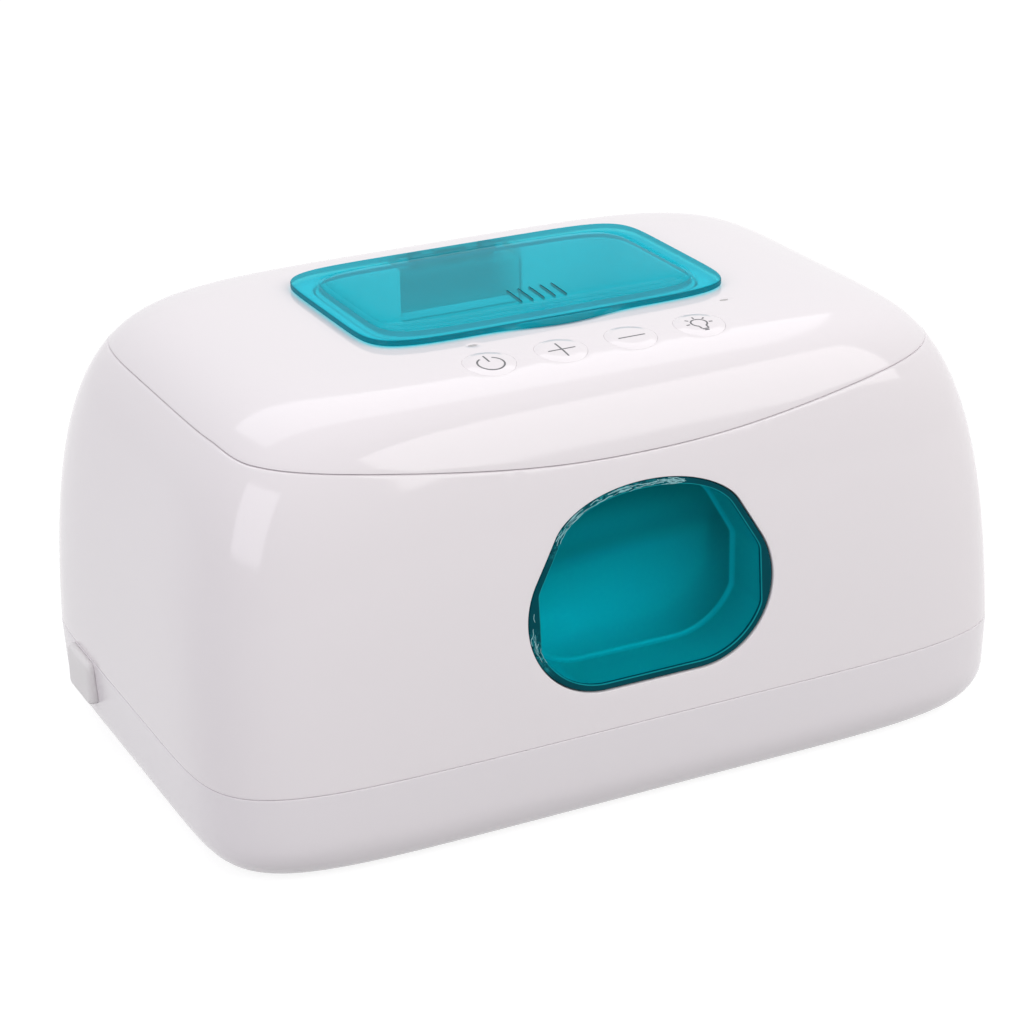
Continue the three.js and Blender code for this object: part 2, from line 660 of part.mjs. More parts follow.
function lidShell() {
  let shell = cut(meet(outside, aboveSeam(gap / 2)), lidInside);
  for (const [, sx, sy] of corners) {
    const place = lidBossPlace(sx, sy);
    const post = meet(rod('z', lidBossRadius, panelTop + gap, height, place), skin(lidWall / 2));
    shell = join(shell, post);
    const hole = rod('z', lidScrew.radius + gap, panelBottom, panelBottom + lidScrew.reach + 2 * gap, place);
    shell = cut(shell, hole);
  }
  shell = cut(shell, upright(wellOutline(well.wall + gap), wellBottom, height + overrun));
  shell = cut(shell, pocketBox(pocket.wall + gap, wellBottom));
  buttonNames.forEach((unused, i) => {
    const radius = button.radius + gap;
    const hole = rod('z', radius, flangeHeight, height + overrun, buttonPlace(i), 2 * holeSteps);
    shell = cut(shell, hole);
  });
  for (const place of Object.values(indicators)) {
    const outline = roundedBox(indicator.halfX + gap, indicator.halfY + gap, 2, 2, place, holeSteps);
    shell = cut(shell, upright(outline, flangeHeight, height + overrun));
  }
  for (const side of [-1, 1]) {
    const half = lidHinge.lidHalf;
    const web = lidHingeWeb(side, -half, half, lidHingeZ + gap / 2, lidHingeZ + lidHinge.knuckle);
    shell = join(shell, lidHingeBar(side, lidHinge.knuckle, -half, half), web);
    for (const [from, to] of bodyKnuckleSpans) {
      shell = cut(shell, lidHingeBar(side, lidHinge.knuckle + gap, from - gap, to + gap));
    }
    shell = cut(shell, lidHingeBar(side, lidHinge.pin + gap, -2 * lidHinge.lidHalf, 2 * lidHinge.lidHalf));
  }
  return shell;
}

// The lid's inner panel, a tray that closes the lid from below
function innerPanel() {
  const top = panelTop + panel.skirt;
  const at = plan(top, lidWall);
  const outline = (inset) => roundedBox(at.a - inset, at.b - inset, at.n, at.m, [0, at.lean], outlineSteps);
  let tray = cut(upright(outline(panel.clearance), panelBottom, top),
    upright(outline(panel.clearance + panel.wall), panelTop, top + overrun));
  for (const sx of [-1, 1]) {
    const { postInset } = controlBoard;
    for (const y of [controlBoardFront + postInset, controlBoardRear - postInset]) {
      const place = [sx * (controlBoard.halfX - postInset), y];
      tray = join(tray, rod('z', controlBoard.postRadius, panelBottom, controlBoardBottom - gap, place));
    }
    for (const sy of [-1, 1]) {
      const place = lidBossPlace(sx, sy);
      tray = cut(tray, rod('z', lidScrew.radius + gap, panelBottom - gap, panelTop + gap, place));
    }
  }
  return cut(tray, upright(slotOutline(0), panelBottom - gap, panelTop + gap));
}

function slotOutline(grow) {
  return roundedBox(slotHalfX + grow, slot.halfY + grow, slot.power, slot.power, [0, slotY], outlineSteps);
}

// The well under the flip cover, with the dispensing slot in its floor and the hinge's pocket behind
function dispensingWell() {
  const under = fineSkin(well.sink);
  let cup = meet(upright(wellOutline(well.wall), wellBottom, height), under);
  cup = join(cup, meet(pocketBox(pocket.wall, wellBottom), under));
  cup = cut(cup, upright(wellOutline(0), wellFloorTop, height + overrun));
  cup = cut(cup, pocketBox(0, wellFloorTop));
  return cut(cup, upright(slotOutline(0), wellBottom - gap, wellFloorTop + gap));
}

// The soft lips in the slot that hold the next wipe up
function dispensingLips() {
  const outer = upright(slotOutline(-gap), wellBottom, wellBottom + slot.lipThickness);
  const mouth = roundedBox(slot.lipHalfX, slot.lipHalfY, 2, 2, [0, slotY], outlineSteps);
  return cut(outer, upright(mouth, wellBottom - gap, wellFloorTop));
}

// The grey housing of the flip cover's hinge, in the pocket at the rear of the well
function hingeHousing() {
  const front = coverY + wellHalfY + housing.front;
  const halfWidth = pocket.halfWidth - gap;
  const top = coverHingeZ - pocket.rise;
  const block = box([-halfWidth, front, wellFloorTop + gap], [halfWidth, pocketRear - gap, top]);
  const ears = [-1, 1].map((side) => {
    const x = side * earAt;
    const ear = rod('x', coverHinge.knuckle, x - coverHinge.earHalf, x + coverHinge.earHalf,
      [coverHingeY, coverHingeZ]);
    const low = [x - coverHinge.earHalf, coverHingeY - coverHinge.knuckle, top - gap];
    const high = [x + coverHinge.earHalf, coverHingeY + coverHinge.knuckle, coverHingeZ];
    return join(ear, box(low, high));
  });
  const half = coverHinge.armAt + coverHinge.armHalf + gap;
  const groove = rod('x', housing.groove, -half, half, [coverHingeY, coverHingeZ]);
  const hole = rod('x', coverHinge.pin + gap, -length, length, [coverHingeY, coverHingeZ]);
  return cut(join(block, ...ears), groove, hole);
}

// The teal flip cover: a rim, a raised middle with fine slits, a thumb tab, and two hinge arms
function flipCover() {
  const rimOutline = (grow) =>
    roundedBox(cover.halfX + grow, coverHalfY + grow, cover.power, cover.power, [0, coverY], outlineSteps);
  const crownOutline = (grow) => {
    const a = cover.halfX - coverCrown.insetX + grow;
    const b = coverHalfY - coverCrown.insetY + grow;
    return roundedBox(a, b, coverCrown.power, coverCrown.power, [0, coverY], outlineSteps);
  };
  let lid = upright(rimOutline(0), coverBottom, coverRimTop);
  const tabMiddle = [0, coverFront + coverTab.reach];
  const tab = roundedBox(coverTab.halfWidth, 2 * coverTab.reach, 2, 2, tabMiddle, holeSteps);
  lid = join(lid, upright(tab, coverBottom, coverRimTop));
  lid = join(lid, upright(crownOutline(0), coverBottom, coverTop));
  lid = cut(lid, upright(crownOutline(-coverCrown.slope), coverBottom - gap, coverRimTop));
  const slitY = coverFront + coverSlit.fromFront;
  for (let i = 0; i < coverSlit.count; i += 1) {
    const x = (i - (coverSlit.count - 1) / 2) * coverSlit.pitch;
    const y0 = slitY - coverSlit.length / 2;
    lid = cut(lid, box([x - coverSlit.width / 2, y0, coverRimTop - gap],
      [x + coverSlit.width / 2, y0 + coverSlit.length, coverTop + gap]));
  }
  const hookY = coverY - wellHalfY + gap + latch.catchThickness + latch.play;
  lid = join(lid, box([-latch.hookHalf, hookY, coverBottom - latch.hookDepth],
    [latch.hookHalf, hookY + latch.hookThickness, coverTop - gap]));
  for (const side of [-1, 1]) {
    const ear = side * earAt;
    const reach = coverHinge.earHalf + gap;
    const notch = coverHinge.knuckle + gap;
    lid = cut(lid, rod('x', notch, ear - reach, ear + reach, [coverHingeY, coverHingeZ]));
    const arm = side * coverHinge.armAt;
    lid = join(lid, rod('x', coverHinge.knuckle, arm - coverHinge.armHalf, arm + coverHinge.armHalf,
      [coverHingeY, coverHingeZ]));
  }
  const clear = springSize.half + gap;
  lid = cut(lid, rod('x', coverHinge.knuckle + gap, -clear, clear, [coverHingeY, coverHingeZ]));
  return cut(lid, rod('x', coverHinge.pin + gap, -length, length, [coverHingeY, coverHingeZ]));
}

// Body pieces
piece('base_tray', baseTray(), whiteGloss);
piece('outer_shell', outerShell(), whiteGloss);
piece('window_lens', windowLens(), tealClear);
piece('light_box', lightBoxCup(), tealClear);
piece('inner_tub', innerTub(), whiteSatin);

for (const [name, sx, sy] of corners) {
  const footPlace = [sx * (halfLength - footSize.insetX), sy * (halfDepth - footSize.insetY)];
  const footTop = standOff + footSize.recess - gap;
  piece(`foot_${name}`, rod('z', footSize.radius, 0, footTop, footPlace), rubber);
  const place = bossPlace(sx, sy);
  const headTop = boss.headSeat - gap;
  const head = rod('z', screw.headRadius, headTop - screw.headHeight, headTop, place);
  const shank = rod('z', screw.radius, headTop - gap, baseSeamHeight + screw.reach, place);
  piece(`base_screw_${name}`, join(head, shank), steel);
}

for (let i = -1; i <= 1; i += 1) {
  const x = i * led.pitch;
  const half = led.size / 2;
  const low = [x - half, ledFront, windowMiddle - half];
  const high = [x + half, ledFront + led.thickness, windowMiddle + half];
  piece(`night_light_led_${i + 2}`, box(low, high), lamp);
}
const lightBoardLow = windowMiddle - lightBoard.halfHeight;
piece('night_light_board', box([-lightBoard.halfWidth, lightBoardFront, lightBoardLow],
  [lightBoard.halfWidth, lightBoardBack, windowMiddle + lightBoard.halfHeight]), board);

piece('heater_plate', box([-heaterX, tubCentre[1] - heaterY, heaterBottom],
  [heaterX, tubCentre[1] + heaterY, heaterTop]), aluminium);

const cutout = { radius: 8, height: 6.6, insetX: 25, insetY: 14 };
const sensor = { halfX: 4, halfY: 2.5, height: 4, insetX: 25, insetY: 14 };
const cutoutPlace = [heaterX - cutout.insetX, tubCentre[1] + heaterY - cutout.insetY];
const sensorPlace = [-heaterX + sensor.insetX, tubCentre[1] + heaterY - sensor.insetY];
const sensorBox = (grow, z0, z1) => box(
  [sensorPlace[0] - sensor.halfX - grow, sensorPlace[1] - sensor.halfY - grow, z0],
  [sensorPlace[0] + sensor.halfX + grow, sensorPlace[1] + sensor.halfY + grow, z1]);
piece('insulation_pad', cut(
  box([-padX, tubCentre[1] - padY, padBottom], [padX, tubCentre[1] + padY, padTop]),
  rod('z', cutout.radius + 2 * gap, padBottom - gap, padTop + gap, cutoutPlace),
  sensorBox(gap, padBottom - gap, padTop + gap),
), foam);
piece('thermal_cutout', rod('z', cutout.radius, padTop - cutout.height, padTop, cutoutPlace), blackPlastic);
piece('temperature_sensor', sensorBox(0, padTop - sensor.height, padTop), greyPlastic);

piece('power_board', box([...boardLow, powerBoardBottom], [...boardHigh, powerBoardTop]), board);
const regulatorX = [powerBoard.offset - regulator.length / 2, powerBoard.offset + regulator.length / 2];
const regulatorY = [tubCentre[1] - regulator.width / 2, tubCentre[1] + regulator.width / 2];
piece('voltage_regulator', box([regulatorX[0], regulatorY[0], powerBoardTop + gap],
  [regulatorX[1], regulatorY[1], powerBoardTop + gap + regulator.height]), blackPlastic);

piece('dc_inlet_jack', inletJack(), blackPlastic);
piece('inlet_cover', inletPlug(), silicone);

// Leads inside the base, by hand between the pieces that they join
const leads = { radius: 1.4, lightRadius: 0.8, straight: 3, fall: 12, sideStep: 5 };
const boardMid = (powerBoardBottom + powerBoardTop) / 2;
const jackEnd = jackRear + gap;
const boardEnd = boardLow[0] - gap;
const halfDrop = (inletHeight - boardMid) / 2;
piece('jack_lead', lead(leads.radius, [
  [jackEnd, inletY, inletHeight],
  [jackEnd + leads.straight, inletY, inletHeight],
  [jackEnd + leads.fall, inletY - leads.sideStep, boardMid + halfDrop],
  [jackEnd + 2 * leads.fall, inletY - 2 * leads.sideStep, boardMid],
  [boardEnd - leads.straight, inletY - 3 * leads.sideStep, boardMid],
  [boardEnd, inletY - 3 * leads.sideStep, boardMid],
], leadSteps), leadSkin);

const cutoutBottom = padTop - cutout.height - gap;
const heaterEnd = boardHigh[0] + gap;
const reach = cutoutPlace[0] - heaterEnd;
const heaterExit = tubCentre[1];
piece('heater_lead', lead(leads.radius, [
  [heaterEnd, heaterExit, boardMid],
  [heaterEnd + reach / 4, heaterExit, boardMid],
  [heaterEnd + reach / 2, heaterExit + leads.sideStep, boardMid],
  [cutoutPlace[0] - reach / 8, cutoutPlace[1] - 2 * leads.sideStep, boardMid],
  [...cutoutPlace, cutoutBottom - leads.radius],
  [...cutoutPlace, cutoutBottom],
], leadSteps), leadSkin);

const lightEnd = boardLow[1] - gap;
const lightMiddle = (lightBoardFront + lightBoardBack) / 2;
const beforePad = tubCentre[1] - padY - 4 * leads.lightRadius;
piece('light_lead', lead(leads.lightRadius, [
  [0, lightEnd, boardMid],
  [0, (lightEnd + beforePad) / 2, boardMid],
  [0, beforePad, padBottom],
  [0, lightMiddle, tubBottom],
  [0, lightMiddle, (tubBottom + lightBoardLow) / 2],
  [0, lightMiddle, lightBoardLow - gap],
], leadSteps), leadSkin);

for (const [name, side] of [['left', -1], ['right', 1]]) {
  const half = lidHinge.lidHalf + gap + lidHinge.bodyLength;
  piece(`lid_hinge_pin_${name}`, lidHingeBar(side, lidHinge.pin, -half, half), steel);
}

// Lid pieces
piece('lid_shell', lidShell(), whiteGloss);
piece('lid_inner_panel', innerPanel(), whiteSatin);
piece('lid_gasket', cut(upright(tubOutline(gasket.overTub), flangeTop + gap, panelBottom - gap),
  upright(tubOutline(gasket.overTub - gasket.width), flangeTop, panelBottom)), silicone);
piece('dispensing_well', dispensingWell(), whiteGloss);
piece('dispensing_lips', dispensingLips(), silicone);
piece('cover_hinge_housing', hingeHousing(), greyPlastic);

const catchY = coverY - wellHalfY + gap;
const catchTop = coverBottom - latch.hookDepth / 2;
piece('cover_catch', box([-latch.catchHalf, catchY, catchTop - latch.hookDepth],
  [latch.catchHalf, catchY + latch.catchThickness, catchTop]), greyPlastic);

for (const [name, sx, sy] of corners) {
  const place = lidBossPlace(sx, sy);
  const headTop = panelBottom - gap;
  const head = rod('z', lidScrew.headRadius, headTop - lidScrew.headHeight, headTop, place);
  const shank = rod('z', lidScrew.radius, headTop - gap, panelBottom + lidScrew.reach, place);
  piece(`lid_screw_${name}`, join(head, shank), steel);
}

piece('control_board', box([-controlBoard.halfX, controlBoardFront, controlBoardBottom],
  [controlBoard.halfX, controlBoardRear, controlBoardTop]), board);
const raised = fineSkin(-button.proud);
buttonNames.forEach((name, i) => {
  const place = buttonPlace(i);
  const [x, y] = place;
  const low = [x - switchSize.half, y - switchSize.half, controlBoardTop + gap];
  const high = [x + switchSize.half, y + switchSize.half, switchTop];
  piece(`switch_${name}`, box(low, high), blackPlastic);
  const disc = rod('z', button.radius, flangeHeight - gap, height + overrun, place, 2 * holeSteps);
  const under = flangeHeight - buttonFlange.thickness;
  const flange = rod('z', button.radius + buttonFlange.over, under, flangeHeight, place);
  const stem = rod('z', buttonFlange.stemRadius, stemBottom, under + gap, place);
  piece(`button_${name}`, join(meet(disc, raised), flange, stem), whiteGloss);
});
for (const [name, place] of Object.entries(indicators)) {
  const outline = roundedBox(indicator.halfX, indicator.halfY, 2, 2, place, holeSteps);
  const pipe = meet(upright(outline, controlBoardTop + gap, height + overrun), fineSkin(-indicator.proud));
  piece(`indicator_${name}`, pipe, greyPlastic);
}

// Flip cover pieces
piece('dispenser_cover', flipCover(), tealClear);
const pinHalf = earAt + coverHinge.earHalf;
piece('cover_hinge_pin', rod('x', coverHinge.pin, -pinHalf, pinHalf, [coverHingeY, coverHingeZ]), steel);
piece('cover_spring', cut(
  rod('x', springSize.outer, -springSize.half, springSize.half, [coverHingeY, coverHingeZ]),
  rod('x', springSize.inner, -length, length, [coverHingeY, coverHingeZ]),
), steel);

export default warmer;
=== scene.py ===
"""The looks of a baby wipe warmer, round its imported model.

Sizes are in millimetres until a piece is made."""

import json
import math
from functools import cached_property

import bmesh
import bpy
import numpy as np
from mathutils import Matrix, Vector
from mathutils.geometry import delaunay_2d_cdt


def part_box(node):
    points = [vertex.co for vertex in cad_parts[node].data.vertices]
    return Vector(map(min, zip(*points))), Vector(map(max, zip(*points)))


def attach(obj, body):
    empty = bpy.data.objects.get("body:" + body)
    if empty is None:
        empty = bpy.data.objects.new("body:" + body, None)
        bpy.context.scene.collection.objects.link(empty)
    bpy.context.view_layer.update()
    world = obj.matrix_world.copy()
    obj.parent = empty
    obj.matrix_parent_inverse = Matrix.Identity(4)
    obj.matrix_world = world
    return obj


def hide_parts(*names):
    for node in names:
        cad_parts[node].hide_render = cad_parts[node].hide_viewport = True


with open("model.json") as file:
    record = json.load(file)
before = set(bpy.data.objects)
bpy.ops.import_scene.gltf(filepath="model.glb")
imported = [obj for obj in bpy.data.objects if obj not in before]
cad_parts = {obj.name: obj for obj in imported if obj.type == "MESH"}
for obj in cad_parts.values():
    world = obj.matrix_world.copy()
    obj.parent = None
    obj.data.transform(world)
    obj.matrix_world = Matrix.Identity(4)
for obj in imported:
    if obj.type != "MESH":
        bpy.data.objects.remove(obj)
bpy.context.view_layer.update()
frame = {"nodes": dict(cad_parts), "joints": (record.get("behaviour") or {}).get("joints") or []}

MM = 0.001
TAU = 2 * math.pi

# Housing, by the same formula as the solids
LENGTH, DEPTH, HEIGHT = 250.0, 164.0, 126.5
STAND_OFF = 1.2
KNEE = 13.5
REAR_LEAN = 2.3
BOTTOM_ROUND = 12.5
BOTTOM_INSET = 10.5
BOTTOM_TAPER = 1.6
BASE_SEAM = 27.6
LID_SEAM = 113.9
SEAM_GAP, LID_GAP, BASE_GAP = 0.3, 0.24, 0.14
PLAN_X, PLAN_X_DROP = 6.3, 1.4
PLAN_Y, PLAN_Y_DROP = 8.5, 3.2
SHOULDER, RISE = 8.8, 2.8
SEAM_DROP, SEAM_HALF, SEAM_POWER = 10.6, 76.0, 2.3
SEAM_FADE_AT, SEAM_FADE = -54.0, 18.0
BASE_WALL, BASE_FLOOR, SHELL_WALL, LID_WALL = 2.6, 3.0, 2.6, 2.4
EDGE_ROUND = 0.25
EDGE_STEPS = 4
QUARTER = 72
SHARP_ANGLE = math.radians(38.0)

# Window in the front wall
ARCH = 96.0
WINDOW_HALF, SILL_HALF = 37.9, 14.5
CORNER_Z, CORNER_R = 62.6, 23.4
SHOULDER_AT, SHOULDER_PULL, ARCH_PULL = (28.2, 85.5), (25.7, 89.8), (16.0, 96.0)
WINDOW_RIM, OPENING_HALF = 2.3, 34.0
WINDOW_POINTS = 200

# Tub, well and lid
TUB_HALF, TUB_CORNER, TUB_WALL = 98.0, 22.0, 1.8
WELL_HALF, WELL_POWER, WELL_WALL = (49.2, 28.7), 6.5, 1.8
WELL_FLOOR, WELL_BOTTOM = 109.5, 107.5
COVER_Y = 7.1
POCKET_HALF, POCKET_REAR = 20.0, 46.9
SLOT_HALF, SLOT_POWER, SLOT_Y = (36.0, 10.0), 3.0, -4.0
COVER_HALF, COVER_POWER = (56.5, 36.0), 6.9
COVER_LOW, COVER_RIM = 126.8, 128.7
COVER_HINGE, EAR_R = (44.4, 126.4), 1.5
BUTTON_X, BUTTON_Y, BUTTON_R = (-32.175, -10.725, 10.725, 32.175), -47.6, 7.3
INDICATORS = {"left": (-30.6, -34.3), "right": (48.0, -34.3)}
INDICATOR_HALF = (1.25, 0.7)
LID_HINGE_X, LID_HINGE_R, LID_PIN_R = 55.0, 3.6, 1.5
INLET = (35.0, 20.35)
INLET_R = 4.5
PLUG_GAP = 0.06


def cad_box(name):
    """Low and high corner of a solid's box, in millimetres."""
    return [np.array(corner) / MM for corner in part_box(name)]


# Housing formula
def plan(z, inset=0.0):
    """Half sizes, exponents and lean of the housing at a height."""
    z = np.asarray(z, float)
    up = np.clip((z - KNEE) / (HEIGHT - inset - KNEE), 0, 1)
    roof = (1 - up**RISE) ** (1 / SHOULDER)
    low = np.clip(1 - (z - inset) / BOTTOM_ROUND, 0, 1)
    tuck = BOTTOM_INSET * (1 - np.sqrt(1 - low**2)) + BOTTOM_TAPER * np.maximum(1 - z / BASE_SEAM, 0)
    a = (LENGTH / 2 - inset) * roof - tuck
    b = (DEPTH / 2 - inset) * roof - tuck
    return a, b, PLAN_X - PLAN_X_DROP * z / HEIGHT, PLAN_Y - PLAN_Y_DROP * z / HEIGHT, REAR_LEAN * up


def front_wall(x, z, inset=0.0):
    """Points of the front wall at places of its elevation."""
    a, b, n, m, lean = plan(z, inset)
    y = lean - b * (1 - np.minimum(np.abs(x / a), 1) ** n) ** (1 / m)
    return np.stack([x, y, np.broadcast_to(z, x.shape)], 1)


def left_wall(y, z, inset=0.0):
    """Points of the left wall at places of its elevation."""
    a, b, n, m, lean = plan(z, inset)
    x = -a * (1 - np.minimum(np.abs((y - lean) / b), 1) ** m) ** (1 / n)
    return np.stack([x, y, np.broadcast_to(z, y.shape)], 1)


def top_height(x, y, inset=0.0):
    """Height of the housing's skin over places of its plan."""
    low = np.full(np.shape(x), KNEE)
    high = np.full(np.shape(x), HEIGHT - inset - 1e-9)
    for _ in range(44):
        z = (low + high) / 2
        a, b, n, m, lean = plan(z, inset)
        inside = np.abs(x / a) ** n + np.abs((y - lean) / b) ** m < 1
        low = np.where(inside, z, low)
        high = np.where(inside, high, z)
    return (low + high) / 2


def top_skin(inset=0.0, lift=0.0):
    """A function from places of the plan to points of the skin."""
    return lambda x, y: np.stack([x, y, top_height(x, y, inset) + lift], 1)


def even_quarter(a, b, n, m, steps):
    """Shares (x, y) along a quarter of a rounded box, even in length and closer where it turns."""
    angle = np.linspace(0, math.pi / 2, 4001)
    x, y = np.cos(angle) ** (2 / n), np.sin(angle) ** (2 / m)
    x[-1], y[0] = 0, 0
    dx, dy = np.diff(x) * a, np.diff(y) * b
    span = np.hypot(dx, dy)
    heading = np.unwrap(np.arctan2(dy, dx))
    turn = np.abs(np.diff(heading, prepend=heading[0]))
    weight = np.concatenate([[0], np.cumsum(span / span.sum() + turn / turn.sum())])
    place = np.interp(np.linspace(0, weight[-1], steps + 1), weight, np.arange(len(x)))
    return np.interp(place, np.arange(len(x)), x), np.interp(place, np.arange(len(y)), y)


def full_round(x, y):
    """All four quarters of a quarter's shares."""
    xs = np.concatenate([x[:-1], -x[:0:-1], -x[:-1], x[:0:-1]])
    ys = np.concatenate([y[:-1], y[:0:-1], -y[:-1], -y[:0:-1]])
    return xs, ys


def columns():
    """Cosine and sine of each column of the housing."""
    a, b, n, m, _ = plan(60.0)
    x, y = even_quarter(float(a), float(b), float(n), float(m), QUARTER)
    s = np.where(y <= x, y ** (m / 2), 0)
    c = np.where(y <= x, np.sqrt(1 - s**2), x ** (n / 2))
    s = np.where(y <= x, s, np.sqrt(1 - c**2))
    return full_round(c, s)


COS, SIN = columns()


def ring(z, inset=0.0):
    """Points round the housing at a height, or at a height for each column."""
    z = np.broadcast_to(np.asarray(z, float), COS.shape)
    a, b, n, m, lean = plan(z, inset)
    x = np.sign(COS) * a * np.abs(COS) ** (2 / n)
    y = np.sign(SIN) * b * np.abs(SIN) ** (2 / m) + lean
    return np.stack([x, y, z], 1)


def seam_height(x, y):
    """Height of the lid's parting line, which dips along the front."""
    share = np.clip((SEAM_FADE_AT + SEAM_FADE - y) / SEAM_FADE, 0, 1)
    ease = share * share * (3 - 2 * share)
    return LID_SEAM - SEAM_DROP * np.exp(-((np.abs(x) / SEAM_HALF) ** SEAM_POWER)) * ease


def seam_columns(lift):
    """Height of the parting line on each column."""
    z = np.full(COS.shape, LID_SEAM)
    for _ in range(40):
        p = ring(z)
        z = seam_height(p[:, 0], p[:, 1]) + lift
    return z


# Outlines in a plane, counter-clockwise
def resample(loop, count):
    """Even points along a closed outline."""
    closed = np.vstack([loop, loop[:1]])
    along = np.concatenate([[0], np.cumsum(np.hypot(*np.diff(closed, axis=0).T))])
    at = np.linspace(0, along[-1], count, endpoint=False)
    return np.stack([np.interp(at, along, closed[:, k]) for k in (0, 1)], 1)


def superellipse(a, b, power, centre, quarter):
    x, y = even_quarter(a, b, power, power, quarter)
    return np.stack(full_round(x, y), 1) * (a, b) + centre


def on_circle(angle):
    return np.stack([np.cos(angle), np.sin(angle)], 1)


def circle(radius, centre, count):
    """A circle, or an ellipse where a pair of radii is given."""
    return on_circle(np.arange(count) / count * TAU) * radius + centre


def round_rectangle(a, b, radius, centre, corner, side=1):
    """A rectangle with round corners, its straight sides cut into parts."""
    angle = np.linspace(0, math.pi / 2, corner + 1)
    arcs = []
    for turn, signs in enumerate(((1, 1), (-1, 1), (-1, -1), (1, -1))):
        middle = np.multiply(signs, (a - radius, b - radius))
        arcs.append(middle + radius * on_circle(angle + turn * math.pi / 2))
    loop = np.vstack(arcs) + centre
    parts = []
    for p, q in zip(loop, np.roll(loop, -1, 0)):
        steps = side if np.hypot(*(q - p)) > radius else 1
        parts.extend(p + (q - p) * i / steps for i in range(steps))
    return np.array(parts)


def outward(loop):
    """Unit normals of a counter-clockwise outline."""
    along = np.roll(loop, -1, 0) - np.roll(loop, 1, 0)
    normal = np.stack([along[:, 1], -along[:, 0]], 1)
    return normal / np.linalg.norm(normal, axis=1)[:, None]


def grown(loop, distance):
    return loop + outward(loop) * distance


def inside(points, loop):
    """True for points inside an outline."""
    x, y = points.T[:, :, None]
    (x0, y0), (x1, y1) = loop.T, np.roll(loop, -1, 0).T
    rise = np.where(y1 == y0, 1e-12, y1 - y0)
    crosses = ((y0 > y) != (y1 > y)) & (x < (x1 - x0) * (y - y0) / rise + x0)
    return crosses.sum(1) % 2 == 1


def window_outline(rim=0.0, limit=WINDOW_HALF):
    """The window in X and Z: a flat sill, round lower corners, sloping sides and a low arch."""
    slope = math.pi / 6
    angles = np.linspace(-math.pi / 2, slope, 60)
    corner = (SILL_HALF, CORNER_Z) + (CORNER_R - rim) * on_circle(angles)
    t = np.linspace(0, 1, 60)[:, None]
    lean_in = rim * np.array([math.cos(slope), math.sin(slope)])
    p0, p1 = np.array(SHOULDER_AT) - lean_in, np.array(SHOULDER_PULL) - lean_in
    p2, p3 = np.array(ARCH_PULL) - (0, rim), np.array((0, ARCH)) - (0, rim)
    arch = (1 - t) ** 3 * p0 + 3 * (1 - t) ** 2 * t * p1 + 3 * (1 - t) * t**2 * p2 + t**3 * p3
    half = np.vstack([corner, arch])
    half[:, 0] = np.minimum(half[:, 0], limit)
    return resample(np.vstack([half, half[-2::-1] * (-1, 1)]), WINDOW_POINTS)


